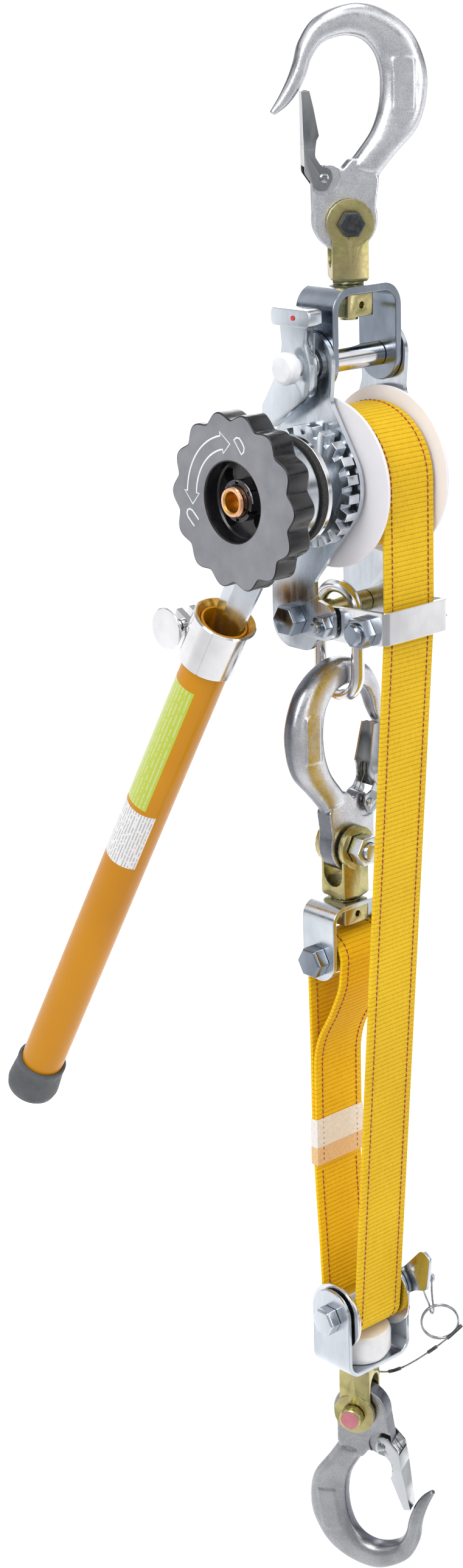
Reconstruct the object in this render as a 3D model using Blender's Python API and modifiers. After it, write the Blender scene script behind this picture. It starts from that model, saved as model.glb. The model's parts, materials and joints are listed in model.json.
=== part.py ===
"""Come along winch: a web-strap ratchet hoist with a handwheel, three swivel hooks and a lower block.

Run with: blender --background --python part.py
Constants are in millimetres and the helpers turn them into metres. The origin is the seat of the top
hook, +Z points up the load line, X is the drum's axis and the strap's free front leg is on the -Y side.
"""

import math

import bmesh
import bpy
from mathutils import Matrix, Vector

MM = 0.001
X_AXIS = Vector((1, 0, 0))
Y_AXIS = Vector((0, 1, 0))
Z_AXIS = Vector((0, 0, 1))
GAP = 0.3

# Hooks: each eye centre, and the turn of its plane about Z
HOOK_SEAT = 112.0
HOOK_THICK = 16.0
HOOK_BOLT_R = 6.0
TOP_EYE = Vector((0, 0, -112))
TOP_HOOK_TURN = math.radians(-36)
MID_EYE = Vector((0, 11, -526))
BOTTOM_EYE = Vector((0, 4, -955))
BOTTOM_HOOK_TURN = math.radians(115)
BOTTOM_HOOK_TILT = math.radians(8.5)
LATCH_PIN = Vector((-15.5, 28, 0))
LATCH_PIN_R = 1.9
LATCH_HALF = 9.2

# Clevises
CLEVIS_BASE = 36.0
CLEVIS_DEPTH = 28.0
CLEVIS_SLOT = 17.2
CLEVIS_RING_R = 15.0
CLEVIS_LEG = 23.0
STEM_R = 6.0

# Bail and upper bolt
BAIL_TOP = -150.0
BAIL_X = 30.4
BAIL_THICK = 5.0
BAIL_WIDE = 34.0
UPPER_BOLT = Vector((0, 0, -197))
BOLT_R = 6.0

# Side plates and drum
PLATE_IN = 31.0
PLATE_THICK = 3.2
PLATE_OUT = PLATE_IN + PLATE_THICK
DRUM = Vector((0, -6, -272))
SHAFT_R = 10.0
FLANGE_R = 55.0
FLANGE_X = 27.5
COIL_R = 46.4
HUB_R = 25.0

# Strap
STRAP_WIDE = 44.5
STRAP_THICK = 3.0
STRAP_FRONT_Y = -51.0

# Brake stack along -X
RATCHET_X = (-46.0, -37.0)
RATCHET_R = 39.0
RATCHET_TEETH = 20
WHEEL_X = (-109.0, -91.0)
WHEEL_R = 57.0
WHEEL_BUMPS = 14

# Lever and handle
LEVER_X = -70.0
LEVER_TURN = math.radians(30.3)
COLLAR_START = 104.0
COLLAR_LONG = 36.0
COLLAR_R = 21.5
TUBE_R = 16.0
TUBE_END = 571.0
CAP_START = 543.0
CAP_END = 577.0
CLAMP_ALONG = 132.0
CLAMP_OUT = 28.0

# Lower bolts, guide and connecting ring
LOWER_Z = -364.0
BIG_BOLT_Y = 19.0
SCREW_Y = -9.5
GUIDE_BOLT_Y = -39.5
GUIDE_FRONT = -58.8
GUIDE_X = 28.9
RING_Y = 13.5
RING_HALF_WIDE = 17.5
RING_TOP = -347.5
RING_BOTTOM = -422.0
RING_BAR_R = 4.5

# Strap anchor
ANCHOR_PIN = Vector((0, 9.4, -602))
ANCHOR_TOP = -563.3
ANCHOR_X = 28.0
ANCHOR_ROLLER_R = 13.0
SEWN_TOP = -668.0
SEWN_BOTTOM = -762.0

# Lower block
SHEAVE = Vector((0, 1, -871))
SHEAVE_R = 14.0
SHEAVE_DISC_R = 24.0
BLOCK_X = 30.5
BLOCK_THICK = 3.2
BLOCK_WEB = -914.0
BLOCK_TOP = -850.0
WING_THICK = 3.0
HITCH_STUD = Vector((37.5, -27.2, -856))
HITCH_RING = Vector((45, -33.2, -890))
HITCH_TURN = math.radians(-41.8)
LANYARD_R = 0.75
LANYARD_ROUTE = (
    Vector((55.9, -44.6, -892.8)), Vector((51.3, -42.0, -897.2)), Vector((46.6, -38.9, -902.1)),
    Vector((42.4, -34.6, -907.4)), Vector((37.6, -28.2, -914.2)), Vector((31.6, -19.6, -922.7)),
    Vector((27.6, -10.4, -930.1)), Vector((25.4, -0.6, -936.0)), Vector((23.2, 10.4, -939.0)),
    Vector((21.0, 19.6, -936.5)), Vector((18.2, 22.6, -929.0)), Vector((14.4, 19.8, -921.4)),
    Vector((10.2, 15.4, -917.2)), Vector((8.0, 12.8, -916.7)),
)

COLOURS = {
    "forged_steel": ((0.36, 0.37, 0.38), 0.35, 1.0),
    "zinc": ((0.62, 0.65, 0.68), 0.3, 1.0),
    "polished": ((0.75, 0.76, 0.78), 0.15, 1.0),
    "yellow_zinc": ((0.48, 0.42, 0.17), 0.35, 1.0),
    "dark_bolt": ((0.1, 0.1, 0.11), 0.35, 1.0),
    "white_plastic": ((0.75, 0.74, 0.78), 0.4, 0.0),
    "wheel_plastic": ((0.21, 0.21, 0.24), 0.4, 0.0),
    "black_lining": ((0.02, 0.02, 0.022), 0.6, 0.0),
    "copper": ((0.72, 0.4, 0.24), 0.25, 1.0),
    "amber_paint": ((0.75, 0.36, 0.02), 0.2, 0.0),
    "grey_rubber": ((0.22, 0.23, 0.25), 0.7, 0.0),
    "webbing": ((0.72, 0.5, 0.03), 0.8, 0.0),
    "lanyard_steel": ((0.3, 0.28, 0.28), 0.4, 1.0),
}


# ---------------------------------------------------------------- helpers

def clear_scene():
    for obj in list(bpy.data.objects):
        bpy.data.objects.remove(obj)


def make_collection(name, hidden=False):
    collection = bpy.data.collections.new(name)
    collection.hide_render = hidden
    bpy.context.scene.collection.children.link(collection)
    return collection


def material(name):
    found = bpy.data.materials.get(name)
    if found:
        return found
    colour, roughness, metallic = COLOURS[name]
    made = bpy.data.materials.new(name)
    made.use_nodes = True
    shader = made.node_tree.nodes["Principled BSDF"]
    shader.inputs["Base Color"].default_value = (*colour, 1)
    shader.inputs["Roughness"].default_value = roughness
    shader.inputs["Metallic"].default_value = metallic
    return made


def basis(origin, along, up):
    """A matrix with local x along one direction, y along another and z along their cross product."""
    matrix = Matrix((along, up, along.cross(up))).transposed().to_4x4()
    matrix.translation = Vector(origin) * MM
    return matrix


def axis_basis(origin, axis):
    """A matrix whose local z runs along an axis."""
    side = X_AXIS if abs(axis.x) < 0.9 else Y_AXIS
    along = side.cross(axis).normalized()
    return basis(origin, along, axis.cross(along))


def yz_plane(x=0.0):
    """Local x and y are the world's Y and Z, so an outline there faces +X."""
    return basis((x, 0, 0), Y_AXIS, Z_AXIS)


def add_object(name, data, matrix, kind):
    obj = bpy.data.objects.new(name, data)
    obj.matrix_world = matrix
    if kind is None:
        obj.hide_render = True
        obj.display_type = "WIRE"
        cutters.objects.link(obj)
    else:
        data.materials.append(material(kind))
        parts.objects.link(obj)
    if data.polygons:
        data.shade_smooth()
        data.set_sharp_from_angle(angle=math.radians(35))
    return obj


def filleted(corners, step=30.0):
    """The outline of (x, y, radius) corners, each rounded by an arc with a point every step degrees."""
    points = []
    count = len(corners)
    for i, (x, y, radius) in enumerate(corners):
        here = Vector((x, y))
        if not radius:
            points.append(here)
            continue
        back = (Vector(corners[i - 1][:2]) - here).normalized()
        ahead = (Vector(corners[(i + 1) % count][:2]) - here).normalized()
        half = back.angle(ahead) / 2
        centre = here + (back + ahead).normalized() * radius / math.sin(half)
        start = here + back * radius / math.tan(half) - centre
        sweep = start.angle_signed(here + ahead * radius / math.tan(half) - centre)
        arcs = max(1, round(abs(math.degrees(sweep)) / step))
        for k in range(arcs + 1):
            turned_by = -sweep * k / arcs
            points.append(centre + Matrix.Rotation(turned_by, 2) @ start)
    return points


def arc(centre, radius, start, end, count):
    """Points on an arc, from and to angles in degrees."""
    angles = [math.radians(start + (end - start) * i / count) for i in range(count + 1)]
    return [Vector((centre[0] + radius * math.cos(a), centre[1] + radius * math.sin(a))) for a in angles]


def circle(centre, radius, count=16):
    return arc(centre, radius, 0, 360, count)[:-1]


def flat_piece(name, loops, thick, matrix, kind):
    """A plate: a filled 2D outline with holes, extruded to both sides of its plane."""
    curve = bpy.data.curves.new(name, "CURVE")
    curve.dimensions = "2D"
    curve.fill_mode = "BOTH"
    curve.extrude = thick / 2 * MM
    for loop in loops:
        spline = curve.splines.new("POLY")
        spline.points.add(len(loop) - 1)
        for point, place in zip(spline.points, loop):
            point.co = (place[0] * MM, place[1] * MM, 0, 1)
        spline.use_cyclic_u = True
    return meshed(name, curve, matrix, kind)


def meshed(name, curve, matrix, kind):
    """A mesh object made from a curve, with its caps welded on."""
    guide = bpy.data.objects.new(name + "_guide", curve)
    bpy.context.scene.collection.objects.link(guide)
    bpy.context.view_layer.update()
    mesh = bpy.data.meshes.new_from_object(guide.evaluated_get(bpy.context.evaluated_depsgraph_get()))
    bpy.data.objects.remove(guide)
    bm = bmesh.new()
    bm.from_mesh(mesh)
    bmesh.ops.remove_doubles(bm, verts=bm.verts, dist=1e-6)
    bmesh.ops.recalc_face_normals(bm, faces=bm.faces)
    bm.to_mesh(mesh)
    bm.free()
    mesh.name = name
    mesh.materials.clear()
    return add_object(name, mesh, matrix, kind)


def turned(name, profile, matrix, kind, steps=24, closed=False):
    """A turned piece about local z, from (radius, height) points that run down its outer side."""
    mesh = bpy.data.meshes.new(name)
    points = [(radius * MM, 0, height * MM) for radius, height in profile]
    edges = [(i, i + 1) for i in range(len(points) - 1)]
    if closed:
        edges.append((len(points) - 1, 0))
    mesh.from_pydata(points, edges, [])
    obj = add_object(name, mesh, matrix, kind)
    screw = obj.modifiers.new("turn", "SCREW")
    screw.steps = steps
    screw.render_steps = steps
    screw.use_merge_vertices = True
    screw.merge_threshold = 1e-5
    return obj


def lofted(name, rings, matrix, kind):
    """A body through rings of the same number of points, closed by a flat cap at each end."""
    bm = bmesh.new()
    layers = [[bm.verts.new(Vector(point) * MM) for point in ring] for ring in rings]
    for low, high in zip(layers, layers[1:]):
        for i in range(len(low)):
            j = (i + 1) % len(low)
            bm.faces.new((low[i], low[j], high[j], high[i]))
    bm.faces.new(layers[0])
    bm.faces.new(layers[-1])
    bmesh.ops.recalc_face_normals(bm, faces=bm.faces)
    mesh = bpy.data.meshes.new(name)
    bm.to_mesh(mesh)
    bm.free()
    return add_object(name, mesh, matrix, kind)


def ring_of(sides, radius, height, count=12):
    """A ring about local z: round, or for six sides a hexagon with its flats at that radius."""
    points = []
    for i in range(count):
        angle = math.tau * i / count
        reach = radius
        if sides == 6:
            part = (angle + math.pi / 6) % (math.pi / 3) - math.pi / 6
            reach = radius / math.cos(part)
        points.append((reach * math.cos(angle), reach * math.sin(angle), height))
    return points


def hexagon(flat):
    return [point[:2] for point in ring_of(6, flat, 0)][1::2]


def stepped(name, stations, matrix, kind):
    """A bolt-like body from (sides, radius, height) stations: a hexagon steps to round and back."""
    return lofted(name, [ring_of(*station) for station in stations], matrix, kind)


def box(name, low, high, matrix, kind=None):
    bm = bmesh.new()
    size = Vector(high) - Vector(low)
    middle = (Vector(high) + Vector(low)) / 2
    bmesh.ops.create_cube(bm, size=MM)
    bmesh.ops.scale(bm, vec=size, verts=bm.verts)
    bmesh.ops.translate(bm, vec=middle * MM, verts=bm.verts)
    mesh = bpy.data.meshes.new(name)
    bm.to_mesh(mesh)
    bm.free()
    return add_object(name, mesh, matrix, kind)


def rod(name, radius, low, high, matrix, kind=None, steps=16):
    """A cylinder along local z."""
    bm = bmesh.new()
    middle = Matrix.Translation((0, 0, (low + high) / 2 * MM))
    bmesh.ops.create_cone(
        bm, cap_ends=True, segments=steps, radius1=radius * MM, radius2=radius * MM,
        depth=(high - low) * MM, matrix=middle,
    )
    mesh = bpy.data.meshes.new(name)
    bm.to_mesh(mesh)
    bm.free()
    return add_object(name, mesh, matrix, kind)


def wire(name, points, radius, matrix, kind, closed=False, round_by=2):
    curve = bpy.data.curves.new(name, "CURVE")
    curve.dimensions = "3D"
    curve.bevel_depth = radius * MM
    curve.bevel_resolution = round_by
    curve.use_fill_caps = not closed
    spline = curve.splines.new("POLY")
    spline.points.add(len(points) - 1)
    for point, place in zip(spline.points, points):
        point.co = (*(Vector(place) * MM), 1)
    spline.use_cyclic_u = closed
    return meshed(name, curve, matrix, kind)


def smooth_path(points, per_span):
    """Points on a Catmull-Rom curve through the given ones."""
    ends = [2 * points[0] - points[1], *points, 2 * points[-1] - points[-2]]
    path = []
    for a, b, c, d in zip(ends, ends[1:], ends[2:], ends[3:]):
        for k in range(per_span):
            t = k / per_span
            path.append(0.5 * (2 * b + (c - a) * t + (2 * a - 5 * b + 4 * c - d) * t * t
                               + (3 * b - 3 * c + d - a) * t ** 3))
    path.append(points[-1])
    return path


def strip(path, thick):
    """The closed outline of a strip of even thickness along a path in a plane."""
    left = []
    right = []
    for i, point in enumerate(path):
        before = path[max(i - 1, 0)]
        after = path[min(i + 1, len(path) - 1)]
        along = (after - before).normalized()
        side = Vector((-along.y, along.x)) * thick / 2
        left.append(point + side)
        right.append(point - side)
    return left + right[::-1]


def join(obj, other):
    modifier = obj.modifiers.new("join", "BOOLEAN")
    modifier.operation = "UNION"
    modifier.object = other
    return obj


def cut(obj, other):
    modifier = obj.modifiers.new("cut", "BOOLEAN")
    modifier.operation = "DIFFERENCE"
    modifier.object = other
    return obj


def keep_common(obj, other):
    modifier = obj.modifiers.new("common", "BOOLEAN")
    modifier.operation = "INTERSECT"
    modifier.object = other
    return obj


def joint_empty(name, place, parent=None):
    empty = bpy.data.objects.new(name, None)
    empty.location = Vector(place) * MM
    empty.empty_display_size = 0.02
    parts.objects.link(empty)
    bpy.context.view_layer.update()
    if parent:
        empty.parent = parent
        empty.matrix_parent_inverse = parent.matrix_world.inverted()
    return empty


def hang(empty, *objects):
    """Parents objects to a joint's empty without moving them."""
    bpy.context.view_layer.update()
    for obj in objects:
        obj.parent = empty
        obj.matrix_parent_inverse = empty.matrix_world.inverted()


# ---------------------------------------------------------------- hooks and clevises

def hook_basis(eye, turn, tilt=0.0, down=False):
    """Local x points from the eye to the hook's back, and local y from the eye to its bowl."""
    along = Vector((math.cos(turn), math.sin(turn), 0))
    up = -Z_AXIS if down else Z_AXIS
    side = along * math.cos(tilt) + up * math.sin(tilt)
    return basis(eye, side, up * math.cos(tilt) - along * math.sin(tilt))


def hook_section(outer, inner, thick, count=12):
    """A rounded section between an outer and an inner point of the hook's outline."""
    outer = Vector(outer)
    inner = Vector(inner)
    middle = (outer + inner) / 2
    half = (outer - inner) / 2
    points = []
    for i in range(count):
        angle = math.tau * i / count
        across = math.copysign(abs(math.cos(angle)) ** 0.75, math.cos(angle))
        deep = math.copysign(abs(math.sin(angle)) ** 0.75, math.sin(angle))
        place = middle + half * across
        points.append((place.x, place.y, deep * thick / 2))
    return points


def make_hook(name, matrix):
    """A forged hook with an eye, a swelling back and a tapered tip."""
    sections = [
        ((-47.6, 68), (-44.6, 66), 5),
        ((-41.8, 77), (-36.6, 71.5), 8),
        ((-36.5, 87), (-30, 79.5), 11),
        ((-32.6, 97), (-24.8, 89), 13.5),
        ((-28.6, 110), (-21, 99.5), 15.5),
        ((-18, 123.6), (-13.5, 108.6), 16.5),
        ((4, 131.7), (0, HOOK_SEAT), 17),
        ((24, 126.8), (11, 108.8), 17),
        ((41, 113.4), (18.2, 100), 17),
        ((50, 93), (21.3, 86.5), 17),
        ((50.3, 74), (20.4, 70), 16.5),
        ((44.5, 56), (15.5, 55), HOOK_THICK),
        ((31, 41), (7, 43), HOOK_THICK),
        ((22, 30), (0, 34), HOOK_THICK),
        ((14, 10), (-10, 8), HOOK_THICK - 1),
    ]
    rings = [hook_section(*section) for section in sections]
    hook = lofted(name, rings, matrix, "forged_steel")
    half = HOOK_THICK / 2 - 0.4
    eye = matrix @ Matrix.Translation((-2 * MM, 2 * MM, 0))
    join(hook, rod(name + "_eye", 20.4, -half, half, eye, steps=24))
    lug = filleted([(-22, 8, 3), (-22.5, 27, 5), (-13, 36.5, 5), (4, 33, 4), (4, 8, 3)])
    join(hook, flat_piece(name + "_lug", [lug], 2 * half - 1, matrix, None))
    cut(hook, rod(name + "_bore", HOOK_BOLT_R + GAP, -20, 20, matrix))
    cut(hook, rod(name + "_latch_bore", LATCH_PIN_R + GAP, -20, 20, latch_place(matrix)))
    return hook


def latch_place(matrix):
    return matrix @ Matrix.Translation(LATCH_PIN * MM)


def channel_section(height, web, flange, half, thick=1.4):
    """A U section at one height on the latch: the web at x = web and the flanges out to x = flange."""
    inner = half - thick
    points = [(web, -half), (flange, -half), (flange, -inner), (web + thick, -inner), (web + thick, inner),
              (flange, inner), (flange, half), (web, half)]
    return [(x, height, z) for x, z in points]


def make_latch(name, matrix):
    """A folded sheet latch: two ears at the pin, and a channel that narrows and closes on the tip."""
    ears = filleted([
        (-10.2, 27, 4), (-13.5, 20, 4), (-20, 20, 5), (-27.6, 31, 4), (-27.9, 46, 0), (-20.6, 46, 0),
        (-21, 41, 4), (-17.5, 35.5, 3), (-11, 33, 4)])
    latch = flat_piece(name, [ears], 2 * LATCH_HALF, matrix, "zinc")
    inside = [(-4, 14), (-32, 14), (-32, 35), (-26.4, 35), (-26.4, 52), (-4, 52)]
    cut(latch, flat_piece(name + "_inside", [inside], HOOK_THICK + 0.6, matrix, None))
    channel = [channel_section(*station) for station in (
        (44.7, -27.75, -20.9, LATCH_HALF - 0.1), (49, -27.8, -20, 8.7), (53.5, -28, -18.2, 8.2),
        (70.6, -28.1, -21.2, 6.6), (80.3, -28.5, -23.4, 6))]
    join(latch, lofted(name + "_channel", channel, matrix, None))
    reach = LATCH_HALF + 1.2
    return join(latch, rod(name + "_pin", LATCH_PIN_R, -reach, reach, latch_place(matrix), steps=10))


def make_clevis(name, matrix, stem_down, shoulder_down):
    """A forged swivel clevis. Local x is the bolt's axis, z runs from the base to the bolt."""
    half = CLEVIS_DEPTH / 2
    bar = [(half, 0), (half - 3, CLEVIS_LEG / 2), (3 - half, CLEVIS_LEG / 2), (-half, 0),
           (3 - half, -CLEVIS_LEG / 2), (half - 3, -CLEVIS_LEG / 2)]
    base = -CLEVIS_BASE
    rings = [[(x * part, y * part, z) for x, y in bar] for part, z in ((0.9, base), (1, base + 2), (1, 0))]
    clevis = lofted(name, rings, matrix, "yellow_zinc")
    across = matrix @ Matrix.Rotation(math.pi / 2, 4, "Y")
    join(clevis, rod(name + "_ring", CLEVIS_RING_R, 0.6 - half, half - 0.6, across, steps=20))
    slot_half = CLEVIS_SLOT / 2
    slot = arc((0, base + 8 + slot_half), slot_half, 180, 360, 8)
    slot += [Vector((slot_half, 30)), Vector((-slot_half, 30))]
    facing = matrix @ Matrix.Rotation(math.pi / 2, 4, "X")
    cut(clevis, flat_piece(name + "_slot", [slot], 60, facing, None))
    cut(clevis, rod(name + "_bore", HOOK_BOLT_R + GAP, -30, 30, across))
    join(clevis, rod(name + "_shoulder", 10, base - shoulder_down, base + 3, matrix, steps=16))
    join(clevis, rod(name + "_stem", STEM_R, base - stem_down, base + 3, matrix, steps=12))
    return clevis


def clevis_basis(eye, turn):
    """The bolt runs across the hook's plane, along local x."""
    bolt = Vector((math.sin(turn), -math.cos(turn), 0))
    return basis(eye, bolt, Z_AXIS.cross(bolt))


def clevis_flip(matrix):
    """Turns a bolt end for end."""
    return matrix @ Matrix.Rotation(math.pi, 4, "Z")


def hook_bolt(name, matrix, head, kind):
    """Local x is the bolt's axis. A round head is a clevis pin's."""
    along = matrix @ Matrix.Rotation(math.pi / 2, 4, "Y")
    half = CLEVIS_DEPTH / 2 + GAP
    flat, tall = (7.4, 6) if head == 6 else (8.25, 7.5)
    stations = [
        (head, flat - 1, -half - tall),
        (head, flat, -half - tall + 1),
        (head, flat, -half),
        (12, HOOK_BOLT_R, -half),
        (12, HOOK_BOLT_R, half + 12),
        (12, HOOK_BOLT_R - 1, half + 13),
    ]
    return stepped(name, stations, along, kind)


def hook_nut(name, matrix, kind, flat=9.5, tall=9.5):
    """A hexagon nut round a bolt along local x."""
    middle = CLEVIS_DEPTH / 2 + GAP + tall / 2
    along = matrix @ Matrix.Rotation(math.pi / 2, 4, "Y") @ Matrix.Translation((0, 0, middle * MM))
    return flat_piece(name, [hexagon(flat), circle((0, 0), HOOK_BOLT_R + GAP)], tall, along, kind)


def swivel_nut(name, matrix, flat, low, high):
    """A square swivel nut along world Z with a cross bore."""
    outline = filleted([(-flat, -flat, 3.5), (flat, -flat, 3.5), (flat, flat, 3.5), (-flat, flat, 3.5)], 45)
    middle = matrix @ Matrix.Translation((0, 0, (low + high) / 2 * MM))
    nut = flat_piece(name, [outline, circle((0, 0), STEM_R + GAP, 12)], high - low, middle, "yellow_zinc")
    bore = rod(name + "_cross", 2.2, -30, 30, middle @ Matrix.Rotation(math.pi / 2, 4, "X"), steps=10)
    return cut(nut, bore)


# ---------------------------------------------------------------- folded frames

def u_outline(half, top, bottom, thick, radius, upward):
    """A U in the XZ plane: the web at top and open below, or the other way up."""
    sign = 1 if upward else -1
    outer = filleted([(-half, bottom, 0), (-half, top, radius), (half, top, radius), (half, bottom, 0)], 22.5)
    inner_top = top - sign * thick
    inner = filleted([(half - thick, bottom, 0), (half - thick, inner_top, radius - thick),
                      (thick - half, inner_top, radius - thick), (thick - half, bottom, 0)], 22.5)
    return outer + inner


def folded_frame(name, u_points, side, kind):
    """A sheet folded to a U across X and trimmed to a side outline in the YZ plane."""
    across = basis((0, 0, 0), X_AXIS, Z_AXIS)
    frame = flat_piece(name, [u_points], 120, across, kind)
    return keep_common(frame, flat_piece(name + "_side", [side], 120, yz_plane(), None))


def bore_x(name, place, radius, steps=16):
    return rod(name, radius, -150, 150, axis_basis((0, place[1], place[2]), X_AXIS), steps=steps)


def make_bail():
    half = BAIL_WIDE / 2
    low = UPPER_BOLT.z - half
    u_points = u_outline(BAIL_X, BAIL_TOP, low - 5, BAIL_THICK, 15, True)
    side = filleted([(-half, BAIL_TOP + 5, 0), (half, BAIL_TOP + 5, 0), (half, low, half - 0.2),
                     (-half, low, half - 0.2)], 22.5)
    bail = folded_frame("bail", u_points, side, "zinc")
    cut(bail, bore_x("bail_bolt_bore", UPPER_BOLT, BOLT_R + GAP))
    cut(bail, rod("bail_stem_bore", STEM_R + 0.5, -170, -140, Matrix()))
    return bail


def side_plate(name, x_middle):
    corners = [
        (-21, -176, 20), (21, -176, 20), (20, -216, 12), (36, -258, 30), (31, -312, 25), (40, -335, 15),
        (40, -384, 17), (5, -384, 10), (-1, -374.5, 5), (-16.5, -374.5, 8), (-16.5, -352, 8), (0, -348, 4),
        (0, -336, 6), (-51, -274, 36), (-17, -219, 10),
    ]
    loops = [
        filleted(corners, 22.5),
        circle((UPPER_BOLT.y, UPPER_BOLT.z), BOLT_R + GAP),
        circle((DRUM.y, DRUM.z), SHAFT_R + GAP, 20),
        circle((BIG_BOLT_Y, LOWER_Z), BOLT_R + GAP),
        circle((SCREW_Y, LOWER_Z), 4 + GAP, 10),
    ]
    return flat_piece(name, loops, PLATE_THICK, yz_plane(x_middle), "zinc")


def bolt_x(name, place, stations, kind):
    """A bolt along +X from (sides, radius, x) stations."""
    return stepped(name, stations, axis_basis((0, place[1], place[2]), X_AXIS), kind)


def nut_end(x, tall):
    """The stations of a bolt's far end, with its nut run up to x."""
    top = x + tall
    return [(12, BOLT_R, x), (6, 9.5, x), (6, 9.5, top), (12, BOLT_R, top), (12, BOLT_R, top + 2)]


def nut_x(name, place, x, flat, tall, bore_r, kind):
    middle = axis_basis((x + tall / 2, place[1], place[2]), X_AXIS)
    return flat_piece(name, [hexagon(flat), circle((0, 0), bore_r + GAP)], tall, middle, kind)


def tube_x(name, place, outer, inner, low, high, kind, steps=20):
    """A plain tube along X, centred on a place's Y and Z."""
    profile = [(outer, high), (outer, low), (inner, low), (inner, high)]
    return turned(name, profile, axis_basis((0, place[1], place[2]), X_AXIS), kind, steps, closed=True)


def make_frame():
    """The bolted side plates with their bolts, spacers and strap guide."""
    lower = Vector((0, BIG_BOLT_Y, LOWER_Z))
    made = [
        side_plate("side_plate_left", -(PLATE_IN + PLATE_OUT) / 2),
        side_plate("side_plate_right", (PLATE_IN + PLATE_OUT) / 2),
        tube_x("upper_spacer", UPPER_BOLT, 7.75, BOLT_R + GAP, -25, 25, "polished"),
        bolt_x("upper_bolt", UPPER_BOLT, [(12, 8, -60), (12, 10, -58.5), (12, 10.5, -56), (12, 10.5, -52),
                                          (12, BOLT_R, -52), *nut_end(PLATE_OUT + GAP, 9)], "zinc"),
        bolt_x("lower_bolt", lower, [(6, 8.5, -45), (6, 9.5, -43.5), (6, 9.5, -PLATE_OUT - GAP),
                                     (12, BOLT_R, -PLATE_OUT - GAP), (12, BOLT_R, 46)], "zinc"),
        nut_x("lower_nut", lower, PLATE_OUT + GAP, 9.5, 9, BOLT_R, "zinc"),
        tube_x("lower_spacer", lower, 7.2, BOLT_R + GAP, -30.6, 30.6, "yellow_zinc"),
        make_guide(),
    ]
    for side, name in ((-1, "guide_screw_left"), (1, "guide_screw_right")):
        stations = [(12, 3.8, side * 45), (12, 3.8, side * 41), (6, 6.5, side * 41),
                    (6, 6.5, side * (PLATE_OUT + GAP)), (12, 4, side * (PLATE_OUT + GAP)), (12, 4, side * 25)]
        made.append(bolt_x(name, Vector((0, SCREW_Y, LOWER_Z)), stations, "zinc"))
    guide_place = Vector((0, GUIDE_BOLT_Y, LOWER_Z))
    made.append(bolt_x("guide_bolt", guide_place, [
        (12, 6, -41.5), (12, 7.5, -40), (12, 7.5, -37.5), (6, 9, -37.5), (6, 9, -GUIDE_X - GAP),
        (12, 5, -GUIDE_X - GAP), (12, 5, GUIDE_X + GAP), (6, 9, GUIDE_X + GAP), (6, 9, GUIDE_X + 8)], "zinc"))
    return made


def make_guide():
    """A strap guide folded to a U that opens to the rear, round the front leg of the strap."""
    thick = 3.0
    outline = filleted([
        (-GUIDE_X, -2, 0), (-GUIDE_X, GUIDE_FRONT, 4), (GUIDE_X, GUIDE_FRONT, 4), (GUIDE_X, -2, 0),
        (GUIDE_X - thick, -2, 0), (GUIDE_X - thick, GUIDE_FRONT + thick, 1.2),
        (thick - GUIDE_X, GUIDE_FRONT + thick, 1.2), (thick - GUIDE_X, -2, 0)])
    above = basis((0, 0, -361), X_AXIS, Y_AXIS)
    guide = flat_piece("strap_guide", [outline], 28, above, "polished")
    side = filleted([(GUIDE_FRONT - 2, -349.3, 0), (GUIDE_FRONT + 5, -349.3, 0), (-34, -350.5, 6),
                     (-2, -353, 9), (-2, -374.5, 9), (-34, -374.5, 6), (GUIDE_FRONT - 2, -370.3, 0)])
    keep_common(guide, flat_piece("strap_guide_side", [side], 90, yz_plane(), None))
    cut(guide, bore_x("strap_guide_screw_bore", (0, SCREW_Y, LOWER_Z), 4 + GAP, 10))
    return cut(guide, bore_x("strap_guide_bolt_bore", (0, GUIDE_BOLT_Y, LOWER_Z), 5 + GAP, 12))


def make_ring():
    """A welded oval ring with straight legs, hanging on the lower spacer."""
    top = RING_TOP - RING_HALF_WIDE
    bottom = RING_BOTTOM + RING_HALF_WIDE
    points = arc((RING_Y, top), RING_HALF_WIDE, 0, 180, 8)
    points += arc((RING_Y, bottom), RING_HALF_WIDE, 180, 360, 8)
    path = [(0, point.x, point.y) for point in points]
    return wire("connecting_ring", path, RING_BAR_R, Matrix(), "polished", closed=True)


# ---------------------------------------------------------------- drum, brake and lever

def make_drum():
    profile = [
        (FLANGE_R, FLANGE_X), (FLANGE_R, FLANGE_X - 2), (HUB_R, FLANGE_X - 3), (HUB_R, 3 - FLANGE_X),
        (FLANGE_R, 2 - FLANGE_X), (FLANGE_R, -FLANGE_X),
        (SHAFT_R + GAP, -FLANGE_X), (SHAFT_R + GAP, FLANGE_X),
    ]
    return turned("drum", profile, axis_basis(DRUM, X_AXIS), "white_plastic", 36, closed=True)


def make_shaft():
    """The drum shaft: a head on the right and a hollow copper-coloured end through the handwheel."""
    profile = [
        (0, 42), (11, 42), (13, 40), (13, PLATE_OUT + GAP), (SHAFT_R, PLATE_OUT + GAP), (SHAFT_R, -108.5),
        (9, -110), (6.5, -110), (6.5, -98), (0, -98),
    ]
    return turned("drum_shaft", profile, axis_basis(DRUM, X_AXIS), "copper", 20)


def make_ratchet():
    """A ratchet wheel with raked square teeth."""
    outline = []
    pitch = math.tau / RATCHET_TEETH
    for tooth in range(RATCHET_TEETH):
        start = tooth * pitch
        root = RATCHET_R - 6.5
        for part, radius in ((0.0, root), (0.08, RATCHET_R), (0.55, RATCHET_R), (0.72, root)):
            angle = start + part * pitch
            outline.append((radius * math.cos(angle), radius * math.sin(angle)))
    low, high = RATCHET_X
    middle = axis_basis(DRUM + X_AXIS * (low + high) / 2, X_AXIS)
    bore = circle((0, 0), SHAFT_R + GAP, 20)
    return flat_piece("ratchet_wheel", [outline, bore], high - low, middle, "zinc")


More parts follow.
